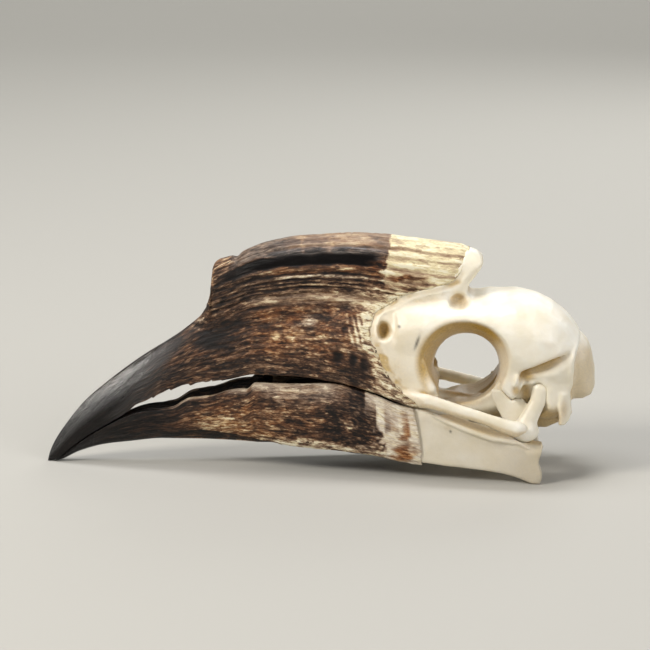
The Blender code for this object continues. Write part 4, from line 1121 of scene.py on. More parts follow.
def ridge_tree():
    """Pushes the surface out in wavering ridges; the inputs are sizes in metres, and a seed."""
    tree = bpy.data.node_groups.new("Growth ridges", "GeometryNodeTree")
    face = tree.interface
    face.new_socket("Geometry", in_out="INPUT", socket_type="NodeSocketGeometry")
    for name, value in (("Ridge height", 0.3 * MM), ("Fray height", 0.1 * MM), ("Edge drop", 0.35 * MM),
                        ("Waver", 0.35), ("Seed", 1.0)):
        socket = face.new_socket(name, in_out="INPUT", socket_type="NodeSocketFloat")
        socket.default_value = value
    face.new_socket("Surface", in_out="INPUT", socket_type="NodeSocketMaterial")
    face.new_socket("Geometry", in_out="OUTPUT", socket_type="NodeSocketGeometry")
    given = add(tree, "NodeGroupInput", out=None)
    flow = add(tree, "GeometryNodeInputNamedAttribute", {"Name": "flow"}, data_type="FLOAT_VECTOR")
    ridge, ridged, frayed, thinned = (
        add(tree, "GeometryNodeInputNamedAttribute", {"Name": name}, data_type="FLOAT")
        for name in ("ridge", "ridged", "frayed", "thinned"))

    long = add(tree, "ShaderNodeVectorMath", {0: flow, 1: per_length(16, 2.5)}, operation="MULTIPLY")
    drift = add(tree, "ShaderNodeTexNoise", {
        "Vector": long, "W": given["Seed"], "Scale": 1.0, "Detail": 2.0}, noise_dimensions="4D")
    drift = add(tree, "ShaderNodeMath", {0: drift, 1: 0.5}, operation="SUBTRACT")
    phase = add(tree, "ShaderNodeMath", {0: drift, 1: given["Waver"], 2: ridge}, operation="MULTIPLY_ADD")
    angle = add(tree, "ShaderNodeMath", {0: phase, 1: 2 * math.pi}, operation="MULTIPLY")
    wave = add(tree, "ShaderNodeMath", {0: angle}, operation="COSINE")
    broken = add(tree, "ShaderNodeTexNoise", {
        "Vector": long, "W": 7.0, "Scale": 1.3, "Detail": 2.0}, noise_dimensions="4D")
    broken = add(tree, "ShaderNodeMapRange", {"Value": broken, "From Min": 0.36, "From Max": 0.6})
    for share in (broken, ridged):
        wave = add(tree, "ShaderNodeMath", {0: wave, 1: share}, operation="MULTIPLY")

    short = add(tree, "ShaderNodeVectorMath", {0: flow, 1: per_length(5, 0.9)}, operation="MULTIPLY")
    fray = add(tree, "ShaderNodeTexNoise", {
        "Vector": short, "W": given["Seed"], "Scale": 1.0, "Detail": 3.0, "Roughness": 0.6},
        noise_dimensions="4D")
    fray = add(tree, "ShaderNodeMath", {0: fray, 1: 0.55}, operation="SUBTRACT")
    fray = add(tree, "ShaderNodeMath", {0: fray, 1: frayed}, operation="MULTIPLY")
    lift = add(tree, "ShaderNodeMath", {0: wave, 1: given["Ridge height"]}, operation="MULTIPLY")
    lift = add(tree, "ShaderNodeMath", {0: fray, 1: given["Fray height"], 2: lift}, operation="MULTIPLY_ADD")
    drop = add(tree, "ShaderNodeMath", {0: thinned, 1: given["Edge drop"]}, operation="MULTIPLY")
    lift = add(tree, "ShaderNodeMath", {0: lift, 1: drop}, operation="SUBTRACT")
    normal = add(tree, "GeometryNodeInputNormal")
    push = add(tree, "ShaderNodeVectorMath", {0: normal, "Scale": lift}, operation="SCALE")
    kept = add(tree, "GeometryNodeStoreNamedAttribute", {
        "Geometry": given["Geometry"], "Name": "crest", "Value": wave}, data_type="FLOAT", domain="POINT")
    moved = add(tree, "GeometryNodeSetPosition", {"Geometry": kept, "Offset": push})
    real = add(tree, "GeometryNodeRealizeInstances", {"Geometry": moved})
    coated = add(tree, "GeometryNodeSetMaterial", {"Geometry": real, "Material": given["Surface"]})
    add(tree, "NodeGroupOutput", {"Geometry": coated}, out=None)
    return tree


growth_ridges = ridge_tree()


def grow_ridges(piece, **sizes):
    """Runs the ridge tree on a piece and keeps the result; the sizes are the tree's inputs, by name."""
    ridges = piece.modifiers.new("ridges", "NODES")
    ridges.node_group = growth_ridges
    sockets = {socket.name: socket.identifier for socket in growth_ridges.interface.items_tree
               if socket.in_out == "INPUT"}
    for name, value in sizes.items():
        ridges[sockets[name.replace("_", " ")]] = value
    ridges[sockets["Surface"]] = keratin
    settle(piece)
    print(piece.name, "with its ridges:", len(piece.data.polygons), "faces")


# %% [markdown]
# ## The upper sheath's colours
# Black and polished at the tip and along the casque's shoulder, striped where the ridges' crests are worn
# light, brown and rust on the flank, and cream where the casque is worn through behind. The broad zones
# are painted first, then the patches, then the worn rear end, and the polished tip last. S and depth are
# pushed about with noise, so that no edge is a straight line, and the far side gets its own edges.

# %% Upper sheath: the broad zones
s, y, z = measured(upper_horn.data).T
depth = depth_in_growth(s, z)
rs, rz = ragged_place(s, y, z, 51)
rdepth = depth + 0.35 * wander(s / 4, z / 0.7, 61)
wavy_depth = depth + 0.35 * wander(s / 9, depth / 4, 62) + 0.12 * wander(s / 2.5, depth / 1.5, 63)
marks = blank(upper_horn, tone=0.4, rust=0.35, grey=0.1, gloss=0.1, fleck=0.3, calm=0, sheen=0.22)
paint(marks, band(rdepth, 7.2, 16, 0.5) * step(46, 52, s), tone=0.34, rust=0.2, fleck=0.2)
striped = band(depth, 7.4, 21, 0.8) * step(54, 78, s)
paint(marks, striped, tone=line(STRIPES)(wavy_depth), fleck=0.15)
paint(marks, 0.6 * striped * band(wavy_depth, 10.1, 11, 0.2), grey=0.6, rust=0.1)
paint(marks, band(wavy_depth, 15.7, 19, 0.8) * band(rs, 62, 104, 6), rust=0.4, grey=0.35, tone=0.68,
      fleck=0.3, calm=0.5)
paint(marks, 0.8 * band(rdepth, 7.2, 9.8, 0.5) * band(s, 68, 101, 5), tone=0.44, rust=0.8, grey=0, calm=0.3)
paint(marks, 0.85 * band(rs, 20, 62, 6) * (rz < 50), tone=0.31)
paint(marks, band(wavy_depth, 19, 34, 2) * band(rs, 60, 95, 6), tone=0.5, fleck=0.7, rust=0.9, calm=0.2)
black = band(rdepth, 4.2, 7.3, 0.3) * band(s, 54 - 1.4 * (depth - 6), 99.5, 1.5)
paint(marks, black, tone=-0.05, grey=0.6, gloss=0.5, fleck=0, rust=0.1, calm=0.75, sheen=0.12)
paint(marks, 0.8 * black * (1 - step(56, 66, s)), tone=0.13, grey=0.3, gloss=0.2, calm=0.2)
paint(marks, band(rdepth, -3, 3.4, 0.3) * band(s, 57, 103.6, 1), tone=0.62, grey=0.45, rust=0.35,
      gloss=0.2, fleck=0.2, calm=0.72)
paint(marks, 0.9 * band(rdepth, -0.5, 3.4, 0.4) * band(s, 57, 73, 2.5), tone=0.54, grey=0.7, rust=0.1,
      fleck=0.3, gloss=0.3, calm=0.45)
# A grey band painted along the black band's top edge as its sheen: a painted highlight, with real shine from
# its specular level
paint(marks, 0.9 * band(rdepth, 2.9, 4.7, 0.5) * band(s, 68, 101, 6), tone=0.36, grey=1.0, gloss=0.6,
      calm=0.4, sheen=0.5)

# %% Upper sheath: patches
# S, Z, the two radii, the tilt, the strength, and what the patch changes
patches(marks, rs, rz, [
    (52.6, 61.6, 3.2, 2.4, 25, 1.0, dict(tone=0.62, rust=0.5, grey=0.2, gloss=0.2)),
    (50.2, 54.5, 0.9, 5.5, 0, 0.8, dict(tone=0.62, rust=0.6)),
    (77.9, 68.5, 0.9, 2.6, 0, 0.6, dict(tone=0.84, rust=0.3, grey=0)),
    (85.6, 68.6, 1.0, 2.8, 0, 0.6, dict(tone=0.84, rust=0.3, grey=0)),
    (93, 69.6, 7, 1.6, 0, 0.7, dict(tone=0.84, rust=0.3, grey=0.2)),
    (99.5, 61.2, 3.2, 3.0, 0, 1.0, dict(tone=0.36, rust=0.95, grey=0, gloss=0.2)),
    (71, 42.5, 8, 5.5, 15, 0.65, dict(tone=0.54, rust=1.0, grey=0, calm=0.2)),
    (70.5, 41, 1.1, 1.0, 0, 0.9, dict(tone=0.9, rust=0.7, grey=0)),
    (75.3, 40.4, 0.9, 1.4, 30, 0.8, dict(tone=0.85, rust=0.6)),
    (84, 41.5, 2.6, 1.2, 10, 0.8, dict(tone=0.9, rust=0.5)),
    (78.8, 45.6, 3.4, 1.3, 8, 0.7, dict(tone=0.85, grey=0.8, rust=0)),
    (90.2, 44.4, 1.6, 1.3, 0, 0.9, dict(tone=0.02, fleck=0, calm=0.6)),
    (95.5, 43.6, 2.8, 4.2, -8, 1.0, dict(tone=0.9, grey=0.4, rust=0.2, fleck=0.1)),
    (93, 38.2, 4.5, 0.9, 0, 0.8, dict(tone=0.88, grey=0.3)),
    (50.2, 39.4, 5, 3.2, 18, 0.95, dict(tone=0.02, grey=0.3, fleck=0, calm=0.3)),
    (57.5, 43.4, 5, 1.6, 16, 0.9, dict(tone=0.04, grey=0.4, fleck=0, calm=0.3)),
    (46, 44, 3.6, 1.5, 38, 0.8, dict(tone=0.78, grey=0.5, rust=0.1)),
    (41.5, 34, 3.4, 2.0, 30, 0.6, dict(tone=0.5, rust=0.9)),
    (49.5, 34.5, 5.5, 1.6, 12, 0.5, dict(tone=0.5, rust=0.9)),
])
patches(marks, s, z, [
    (88.3, 36, 1.7, 1.8, 0, 1.0, dict(tone=-0.02, grey=0.3, fleck=0, calm=0.7)),
    (92.9, 35.6, 1.2, 2.1, 0, 1.0, dict(tone=-0.02, grey=0.3, fleck=0, calm=0.7)),
    (96.2, 33.8, 1.2, 3.2, 0, 0.95, dict(tone=0.0, grey=0.3, fleck=0, calm=0.6)),
    (70.2, 41.2, 1.1, 1.1, 0, 1.0, dict(tone=0.86, rust=0.8, grey=0, calm=0.6)),
    (74.0, 40.6, 0.9, 1.2, 30, 0.9, dict(tone=0.74, rust=0.7, grey=0, calm=0.5)),
    (77.6, 42.4, 1.2, 1.0, 0, 0.9, dict(tone=0.72, rust=0.6, grey=0, calm=0.5)),
])
ladder = spot(rs, rz, (95.1, 43.8), (3.8, 4.8), -8)
rung = 0.5 + 0.5 * np.cos(2 * math.pi * (s + 0.25 * (z - 44) + 0.3 * wander(s, z / 2, 65)) / 1.7)
paint(marks, 0.9 * ladder * rung, tone=1.0, grey=0.3, rust=0.1, fleck=0, calm=0.5)
paint(marks, 0.9 * ladder * (1 - rung) ** 2, tone=0.42, rust=0.5, grey=0, fleck=0)

# %% Upper sheath: the worn rear end
paint(marks, 0.9 * step(90, 99, rs) * band(rdepth, 12.5, 19, 1), tone=0.78, rust=0.35, grey=0.2)
worn_rear = step(102.2, 102.8, s + 0.15 * (depth - 6) + 0.5 * wander(s, depth / 0.8, 64))
worn_rear = worn_rear * (1 - step(12.5, 15, rdepth))
paint(marks, worn_rear, tone=0.92, rust=0.0, grey=0.1, gloss=0.2, fleck=0, calm=0.7)
# The darker lines in the cream: from which depth to which, and how light they are
REAR_LINES = [(2.0, 2.6, 0.78), (4.0, 4.5, 0.82), (5.6, 6.0, 0.84), (7.4, 8.2, 0.74), (9.9, 11, 0.72)]
for low, high, tone in REAR_LINES:
    paint(marks, worn_rear * band(wavy_depth, low, high, 0.25), tone=tone)
patches(marks, rs, rz, [
    (108.5, 58.9, 5.4, 1.0, -5, 0.9, dict(tone=0.44, rust=1.2, grey=0.0, calm=0)),
    (110, 55.8, 5.6, 1.3, -8, 0.8, dict(tone=0.52, rust=0.7, calm=0)),
    (103, 60.4, 1.6, 1.0, 0, 0.9, dict(tone=1.0, rust=0.0)),
    (99, 56.6, 5.5, 1.1, -4, 0.7, dict(tone=0.34, rust=0.6)),
])
to_edge = horn_edge(z) - s
near_edge = 1 - step(1.5, 5, to_edge + 1.2 * wander(s / 1.5, z / 1.2, 71))
paint(marks, 0.9 * near_edge * (1 - step(56, 60, z)), tone=0.96, rust=0.12, grey=0.15, fleck=0)
paint(marks, 0.95 * step(97, 99.5, rs) * (1 - step(34, 39, rz)), tone=0.8, rust=0.35, grey=0.25, fleck=0.4)
patches(marks, rs, rz, [
    (100.3, 36.5, 2.6, 3.4, -20, 0.8, dict(tone=0.72, rust=0.75, grey=0)),
    (104, 28.5, 5.5, 2.0, -35, 0.7, dict(tone=0.97, rust=0.15, grey=0.2)),
    (101.5, 45.5, 1.2, 3.2, 0, 0.7, dict(tone=1.0, grey=0.2)),
])

# %% Upper sheath: the polished tip and the cutting edge
tip = 1 - step(24, 50, s + 0.9 * (culmen(s) - z) + 3.5 * wander(depth / 1.3, s / 14, 81))
below_ridge = (culmen(s) - z) / np.maximum(culmen(s) - upper_edge(s), 1)
paint(marks, tip, tone=0.08, rust=0.05, grey=0.9, gloss=1, fleck=0, calm=0.7, sheen=1.25)
# The tip's lower flank: rust, less shine, and a darker tone that is painted shade
paint(marks, 0.9 * tip * step(0.35, 0.7, below_ridge), tone=0.0, rust=0.6, grey=0.2, gloss=0.7, sheen=0.12)
paint(marks, 0.6 * tip * (1 - step(0.04, 0.16, below_ridge)) * step(8, 20, s), tone=0.3, rust=0.9, grey=0)
edge_wear = (1 - step(0.1, 0.7, z - upper_edge(s) - chipped(s))) * step(22, 32, s) * (1 - step(60, 75, s))
paint(marks, 0.6 * edge_wear, tone=0.6, grey=0.6)
# Painted shade: the palate and the faces inside the mouth are made dark
inside = z < upper_edge(s) + chipped(s) - 0.02
inside |= (np.abs(y) < 0.8 * half_width(s)) & (z < upper_edge(s) + 5) & (s > 6)
paint(marks, inside * 0.8, tone=0.16, rust=0.2, grey=0.2, fleck=0)
keep_marks(upper_horn, marks)
mark(upper_horn, "flow", np.stack([s, depth, y * 0.6], 1) * MM)

# %% Upper sheath: its ridges
smooth_band = band(depth, 3.2, 7.2, 0.4) * (1 - step(97, 102, s))
on_casque = step(46, 54, s) * (1 - step(16, 24, depth) * 0.6) * (1 - smooth_band)
close_to_edge = step(0.2, 1.5, to_edge) * step(0.3, 1.2, z - upper_edge(s))
ridged = (0.15 + 0.85 * on_casque) * (1 - 0.9 * tip) * close_to_edge
keep_marks(upper_horn, {
    "ridge": line(RIDGE_COUNT)(wavy_depth),
    "ridged": ridged * (0.45 + 0.55 * step(3, 9, depth)),
    "frayed": (1 - marks["gloss"]) * close_to_edge,
    "thinned": 1 - step(0.3, 3, to_edge) - 0.4 * ladder * rung,
})
grow_ridges(upper_horn, Edge_drop=0.58 * MM, Ridge_height=0.36 * MM, Fray_height=0.6 * MM, Waver=0.25,
            Seed=4.0)

# %% [markdown]
# ## The lower sheath's colours
# The same material and the same way of painting: a dark polished tip, rust and orange streaks along the
# middle, a dark mottled zone, and a whitish rear margin with rust stains. Heights are counted from the
# keel up, 20 steps to the cutting edge, so that the streaks follow the scoop.

# %% Lower sheath: the broad zones and patches
s, y, z = measured(lower_horn.data).T
up = 20 * (z - lower_bottom(s)) / np.maximum(lower_edge(s) - lower_bottom(s), 0.5)
rs, rz = ragged_place(s, y, z, 151)
marks = blank(lower_horn, tone=0.36, rust=0.6, grey=0.1, gloss=0.1, fleck=0.35, calm=0, sheen=0.22)
paint(marks, band(rs, 48, 84, 6) * band(rz, 16, 26, 2), tone=0.42, rust=0.7, grey=0.1)
paint(marks, 0.9 * band(rs, 42, 72, 8) * band(rz, 8.5, 17, 2), tone=0.62, rust=0.9, grey=0)
paint(marks, 0.9 * band(rs, 84, 104, 3) * band(rz, 9, 26, 2), tone=0.3, rust=0.4, fleck=0.9)
patches(marks, rs, rz, [
    (57, 18.2, 8, 2.0, 4, 0.7, dict(tone=0.58, rust=1.2, grey=0)),
    (54, 14.6, 7, 2.1, 3, 0.8, dict(tone=0.76, rust=1.0, grey=0)),
    (49, 12.2, 6, 1.6, 3, 0.7, dict(tone=0.8, rust=0.85)),
    (66, 19.4, 6, 1.4, -4, 0.6, dict(tone=0.62, rust=0.95)),
    (75, 17, 6, 1.2, -6, 0.6, dict(tone=0.72, rust=0.6)),
    (57, 22.2, 4, 1.8, 0, 0.5, dict(tone=0.25, rust=0.3)),
    (72, 23.5, 4, 1.8, 0, 0.7, dict(tone=0.12, rust=0.2)),
    (96, 19.5, 3.0, 2.6, 0, 0.9, dict(tone=0.08, grey=0.4)),
    (92, 16, 2.2, 2.0, 0, 0.6, dict(tone=0.85, rust=0.4)),
    (103, 20.5, 1.2, 3.2, 0, 0.9, dict(tone=0.08, grey=0.1)),
])

# %% Lower sheath: the keel, the rear margin and the tip
keel = step(62, 72, rs) * (1 - step(9.4, 10.8, rz + 0.02 * (s - 80)))
paint(marks, 0.85 * keel, tone=0.82, rust=0.25, grey=0.35)
margin = step(99.3, 101.2, rs + 0.35 * (z - 14) + 1.2 * wander(s / 0.9, z / 0.7, 152))
paint(marks, margin, tone=0.9, rust=0.0, grey=0.9, gloss=0.2, fleck=0.2, calm=0.7)
patches(marks, rs, rz, [
    (104.6, 19.0, 1.9, 3.2, 24, 1.0, dict(tone=0.5, rust=2, grey=0, calm=0.3)),
    (108.7, 14, 1.5, 3.2, 10, 1.0, dict(tone=0.5, rust=2, grey=0, calm=0.3)),
    (108, 7.4, 3.2, 2.8, 30, 1.0, dict(tone=0.55, rust=2, grey=0, calm=0.3)),
    (103.8, 15.2, 1.6, 1.2, 0, 0.6, dict(tone=0.4, grey=0.8)),
    (100.6, 17.6, 1.0, 3.4, 25, 0.8, dict(tone=0.92, grey=0.95, rust=0)),
])
tip = 1 - step(25, 52, s + 1.2 * wander(up / 2, s / 12, 181) * 4)
paint(marks, tip, tone=0.04, rust=0.3, grey=0.3, gloss=0.6, fleck=0, calm=0.3, sheen=0.2)
paint(marks, 0.8 * (1 - step(8, 20, s)), tone=0.06, grey=0.7, rust=0.1, gloss=1)
# Painted highlight: a light grey line along the top of the lower cutting edge
rim = step(-0.62, -0.4, z - lower_edge(s)) * step(30, 44, s) * (1 - step(84, 96, s))
paint(marks, 0.9 * rim, tone=0.82, grey=0.7, rust=0, fleck=0, calm=0.6)
inside = np.abs(y) < half_width(s) * LOWER_SHARE - 1.75
# Painted shade: the inner faces of the scoop are made dark
paint(marks, 0.85 * inside * (z > lower_bottom(s) + 1), tone=0.14, rust=0.2, grey=0.1, fleck=0)
keep_marks(lower_horn, marks)
mark(lower_horn, "flow", np.stack([s, up, y * 0.6], 1) * MM)
on_side = (1 - inside) * step(0.3, 1.5, lower_horn_edge(z) - s) * (1 - tip)
on_side = on_side * step(0.3, 1.5, lower_edge(s) - z)
keep_marks(lower_horn, {
    "ridge": up / 1.6,
    "ridged": 0.4 * on_side,
    "frayed": (1 - marks["gloss"]) * on_side,
    "thinned": -0.6 * band(s, 109.5, 113, 0.8) * (1 - inside),
})
grow_ridges(lower_horn, Edge_drop=0.3 * MM, Ridge_height=0.2 * MM, Fray_height=0.5 * MM, Waver=1.6, Seed=9.0)

# %% [markdown]
# ## Hollows, stains and painted shade of the bone
# Deep hollows get a tan colour, partly a stain, since dust and fat stay there, and partly painted shade.
# They could be found by casting rays, but the fields already know what is bone: where the surroundings
# of a point are mostly bone, the point lies in a hollow. Stains that this skull has at places of its own
# are then laid over that, with tan that is partly painted shade in the orbits, and painted shade in the
# temple groove, under the cheek bar, behind the crest and over the jaw. Dark painted shade marks the slit,
# the small holes and what lies deep under the horn.

# %% Finding the hollows
HOLLOW_REACH = 1.6


def hollow(piece, field, block):
    """How deep in a hollow each vertex lies: above 0 in a dip, below 0 on an edge, from -1 to 1."""
    filled = np.clip(0.5 - block.whole(field) / block.grain, 0, 1)
    size = int(round(HOLLOW_REACH / block.grain))
    for axis in (0, 0, 1, 1, 2, 2):
        ends = [(size + 1, size) if a == axis else (0, 0) for a in range(3)]
        sums = np.cumsum(np.pad(filled, ends), axis=axis)
        ahead = np.take(sums, range(2 * size + 1, sums.shape[axis]), axis=axis)
        behind = np.take(sums, range(0, sums.shape[axis] - 2 * size - 1), axis=axis)
        filled = (ahead - behind) / (2 * size + 1)
    cell = np.clip((measured(piece.data) - block.corner) / block.grain, 0, np.array(filled.shape) - 1.001)
    corner, inside = np.floor(cell).astype(int), cell % 1
    found = 0
    for way in np.ndindex(2, 2, 2):
        share = np.prod(np.where(way, inside, 1 - inside), axis=1)
        found = found + share * filled[tuple((corner + way).T)]
    return np.clip(2 * found - 1, -1, 1)


# %% Stains and painted shade of this skull
# S, Z, the two radii, the tilt, the strength, and how far out from the middle the patch starts
SKULL_STAINS_AND_SHADE = [
    (105, 31, 6, 7, 0, 0.3, 0),
    # Painted shade in the temple groove, deepest at its front end
    (143.8, 32.2, 2.6, 2.0, 24, 0.9, 0),
    (148.6, 35.2, 7.5, 1.7, 27, 0.75, 0),
    # Painted shade under the small bump, and in the hollow below the bar behind the orbit
    (140.7, 27.6, 1.3, 1.6, 30, 0.8, 0),
    (143.7, 26, 1.6, 3, 0, 0.9, 0),
    (149.4, 19.4, 5, 3, 0, 0.9, 6),
    # Painted shade on the part of the ear lobe that lies behind
    (154.6, 22, 1.3, 3, 0, 0.5, 0),
]


def skull_stain_and_shade(s, y, z, stain_and_shade):
    """The hollows' stain and shade, lighter in places, with this skull's own stains and painted shade."""
    out = np.abs(y)
    # Inside the orbit the walls are tan: partly a stain, partly painted shade
    ring = np.interp(np.hypot((s - 125.3) / 1.04, z - 35.2), [8, 14.5], [1, 0])
    in_orbit = np.minimum(1, 3 * ring) * (1 - step(14.5, 17.4, out - 0.1 * np.abs(s - 125)))
    roof, rear = spot(s, z, (133, 45), (7, 6)), spot(s, z, (138, 36), (4, 9))
    stain_and_shade = np.maximum(stain_and_shade, in_orbit * (0.9 + 0.3 * roof - 0.5 * rear))
    stain_and_shade = stain_and_shade * (1 - 0.75 * spot(s, z, (134, 26), (7, 3.5), 20) * (out > 9))
    stain_and_shade = stain_and_shade * (1 - 0.25 * spot(s, z, (122.6, 51.6), (3, 3)) * (out > 5))
    from_horn = s - horn_edge(z)
    by_horn = band(from_horn + 1.6 * wander(s / 1.6, z / 1.9, 322), -1, 3.2, 1.2) * band(z, 27, 41, 2.5)
    blotched = step(-0.2, 0.4, wander(s / 2.2, z / 1.6, 323) + 0.5 * wander(s / 0.8, z / 0.7, 324))
    near_horn = 1 - step(0.3, 3.2, from_horn + 1.4 * wander(s / 1.4, z / 1.2, 321))
    seam = band(behind_horn(s, z), -0.2, 1.1, 0.35) * band(z, 42, 60, 2) * (out > 4)
    under_cheek = z - line([(at_s, at_z) for at_s, _, at_z in JUGAL])(s)
    layers = [
        stain_and_shade,
        0.7 * spot(s, z, NOSTRIL, (2.6, 3.4)) * (1 - step(12.6, 14.2, out)),
        seam * (0.25 + 0.5 * step(-0.3, 0.5, wander(s / 2.1, z / 1.7, 325))),
        (0.45 + 0.45 * blotched) * by_horn,
        # Painted shade: a faint tan over the face's front
        0.17 * (1 - step(112, 122, s)),
        # Painted shade under the cheek bar
        0.55 * band(under_cheek, -3, -0.4, 0.6) * (out > 16) * step(110, 114, s),
        0.4 * near_horn * (1 - step(48, 58, z)),
        # Painted shade on the bulge behind the nuchal crest
        0.45 * step(0.2, 1.2, s - line(NUCHAL_CREST)(z)) * (1 - step(37, 42, z)),
        0.8 * (1 - step(10, 13.5, out)) * (1 - step(18, 22, z)) * step(118, 128, s),
    ]
    for centre_s, centre_z, wide, tall, turn, strength, beyond in SKULL_STAINS_AND_SHADE:
        layers.append(strength * spot(s, z, (centre_s, centre_z), (wide, tall), turn) * (out >= beyond))
    return np.maximum.reduce(layers)


def skull_painted_shade(s, y, z):
    """Painted shade: dark where the skull lies deep under the horn, and in its slit."""
    under_horn = (1 - step(108, 116, s)) * (1 - step(27, 30, z)) * (1 - step(9, 12, np.abs(y)))
    return np.maximum(under_horn, 0.75 * spot(s, z, (111.7, 41.4), (0.45, 2.3), -20) * (np.abs(y) > 12))


# %% Stains and painted shade of the jaw, and all the bones' marks


def jaw_stain_and_shade(s, y, z, stain_and_shade):
    """The hollows' stain and shade, a painted shadow over the ledge, a stain by the hole, and painted shade.
    """
    ledge_shadow_line = 0.6 * band(z - line(LEDGE)(s), 0.7, 2.4, 0.5) * step(113, 117, s) * (np.abs(y) > 15)
    by_hole = 0.3 * spot(s, z, (120.9, 16.1), (1.6, 1.0)) * (np.abs(y) > 12)
    # Painted shade: a faint tan over the whole jaw, deeper towards its rear end
    return np.maximum.reduce([stain_and_shade, ledge_shadow_line, by_hole, 0.12 + 0.14 * step(128, 146, s)])


def jaw_painted_shade(s, y, z):
    """Painted shade: dark under the horn, and a faint grey below the ledge that grows towards the rear."""
    below_ledge = 1 - step(-2.5, -0.5, z - line(LEDGE)(s))
    return np.maximum(1 - step(106, 110, s), (0.15 + 0.1 * step(130, 144, s)) * below_ledge)


def pricked(painted_shade, s, y, z, holes):
    """The painted shade, with a dark dot of painted shade in every small hole."""
    for hole in holes:
        painted_shade = np.maximum(painted_shade, 0.85 * spot(s, z, hole, (0.45, 0.45)) * (np.abs(y) > 12))
    return painted_shade


for piece in (skull, lower_jaw, right_quadrate, right_pterygoid):
    s, y, z = measured(piece.data).T
    # Tan in the hollows: partly a stain, partly painted shade
    stain_and_shade = 0.9 * step(0.05, 0.5, hollow(piece, *fields[piece.name]))
    # Painted shade: none, unless the piece is the skull or the jaw
    painted_shade = np.zeros(len(s))
    if piece is skull:
        stain_and_shade = skull_stain_and_shade(s, y, z, stain_and_shade)
        painted_shade = pricked(skull_painted_shade(s, y, z), s, y, z, [(hole[0], hole[2]) for hole in FORAMINA])
    if piece is lower_jaw:
        stain_and_shade = jaw_stain_and_shade(s, y, z, stain_and_shade)
        painted_shade = pricked(jaw_painted_shade(s, y, z), s, y, z, [JAW_HOLE])
    keep_marks(piece, {"painted_shade": painted_shade, "stain_and_shade": stain_and_shade})
    print(piece.name, "mean stain:", round(float(stain_and_shade.mean()), 2))

# %% [markdown]
# ## Bone, cleaned and dried
# Cleaned bone is warm white with a satin surface, and light goes a little way into it, which softens its
# edges. The eye also sees faint clouds a few mm wide, where the bone is thicker or yellower, and a fine
# dimpled grain that breaks the highlights. Real pores are under 0.1 mm, too fine to show, so the grain is
# drawn 0.7 mm wide.

# %% Bone material
IVORY = [(0.3, "#e7dec6"), (0.5, "#efe8d6"), (0.7, "#f7f3e6")]
# The tan of the stains and of the painted shade, and the dark brown of the deeper painted shade
TAN = [(0.3, "#9f781c"), (0.7, "#cba64b")]
PAINTED_SHADE_BROWN = "#2c2118"
CLOUD_SIZE, DIMPLE_SIZE, GRAIN_SIZE, BONE_RELIEF = 9 * MM, 2.6 * MM, 0.7 * MM, 0.25 * MM
bone_stuff, tree, shader = principled("Cleaned dry bone", {
    "Roughness": 0.36, "Subsurface Weight": 0.15, "Subsurface Radius": (0.8, 0.7, 0.5),
    "Subsurface Scale": 1.2 * MM})
place_on = add(tree, "ShaderNodeTexCoord", out="Object")
sizes = ((CLOUD_SIZE, 4.0, 0.5), (DIMPLE_SIZE, 3.0, 0.5), (GRAIN_SIZE, 5.0, 0.65))
cloud, dimple, grain = (add(tree, "ShaderNodeTexNoise", {
    "Vector": place_on, "Scale": 1 / size, "Detail": detail, "Roughness": roughness})
    for size, detail, roughness in sizes)
ivory = add(tree, "ShaderNodeValToRGB", {"Fac": cloud}, stops=IVORY)
tan = add(tree, "ShaderNodeValToRGB", {"Fac": grain}, stops=TAN)
stain_and_shade, painted_shade = (add(tree, "ShaderNodeAttribute", attribute_name=name, out="Fac")
                for name in ("stain_and_shade", "painted_shade"))
uneven = add(tree, "ShaderNodeMapRange", {
    "Value": cloud, "From Min": 0.3, "From Max": 0.7, "To Min": 0.75, "To Max": 1.0})
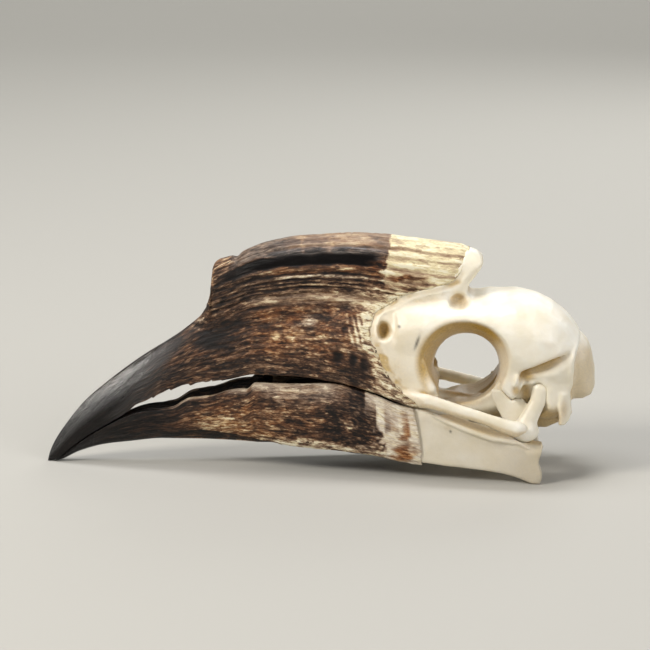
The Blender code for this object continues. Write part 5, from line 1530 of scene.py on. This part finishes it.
# The tan is partly a stain and partly painted shade, and the dark brown over it is painted shade
stain_and_shade_share = add(tree, "ShaderNodeMath", {0: stain_and_shade, 1: uneven}, operation="MULTIPLY")
colour = add(tree, "ShaderNodeMix", {0: stain_and_shade_share, 6: ivory, 7: tan}, data_type="RGBA", out=2)
colour = add(tree, "ShaderNodeMix", {0: painted_shade, 6: colour, 7: hexed(PAINTED_SHADE_BROWN)}, data_type="RGBA", out=2)
tree.links.new(colour, shader.inputs["Base Color"])
height = add(tree, "ShaderNodeMath", {0: grain, 1: 0.25, 2: cloud}, operation="MULTIPLY_ADD")
height = add(tree, "ShaderNodeMath", {0: dimple, 1: 0.7, 2: height}, operation="MULTIPLY_ADD")
bump = add(tree, "ShaderNodeBump", {"Strength": 0.8, "Distance": BONE_RELIEF, "Height": height})
tree.links.new(bump, shader.inputs["Normal"])

left_quadrate = flipped(right_quadrate, "Left_quadrate")
left_pterygoid = flipped(right_pterygoid, "Left_pterygoid")
for piece in (skull, lower_jaw, left_quadrate, right_quadrate, left_pterygoid, right_pterygoid):
    piece.data.materials.clear()
    piece.data.materials.append(bone_stuff)
print(bone_stuff.name, "has", len(tree.nodes), "nodes")

# %% [markdown]
# ## Hanging the pieces on the frame
# Every finer piece takes the place of one solid of the frame. Nothing moves on a dry skull, so all of
# them ride on the root.

# %% Every piece stands for its node
PIECES = [
    (skull, "skull", "bone"),
    (upper_horn, "upper_bill_sheath", "upper_horn"),
    (lower_jaw, "lower_jaw", "jaw_bone"),
    (lower_horn, "lower_bill_sheath", "lower_horn"),
    (left_quadrate, "left_quadrate", "small_bone"),
    (right_quadrate, "right_quadrate", "small_bone"),
    (left_pterygoid, "left_pterygoid", "small_bone"),
    (right_pterygoid, "right_pterygoid", "small_bone"),
]
for piece, node, finish_slot in PIECES:
    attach(piece, "root")
    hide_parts(node)
    print(piece.name, "replaces", node, "triangles:", sum(len(p.vertices) - 2 for p in piece.data.polygons))

# %% [markdown]
# ## Size
# The finer pieces may not make the object bigger than its solids, so both boxes are kept side by side.

# %% Size
seen_low, seen_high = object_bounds()
sizes = {"cad": [list(cad_low), list(cad_high)], "visual": [list(seen_low), list(seen_high)]}
print("visual box, mm:", [round(v / MM, 1) for v in (*seen_low, *seen_high)])
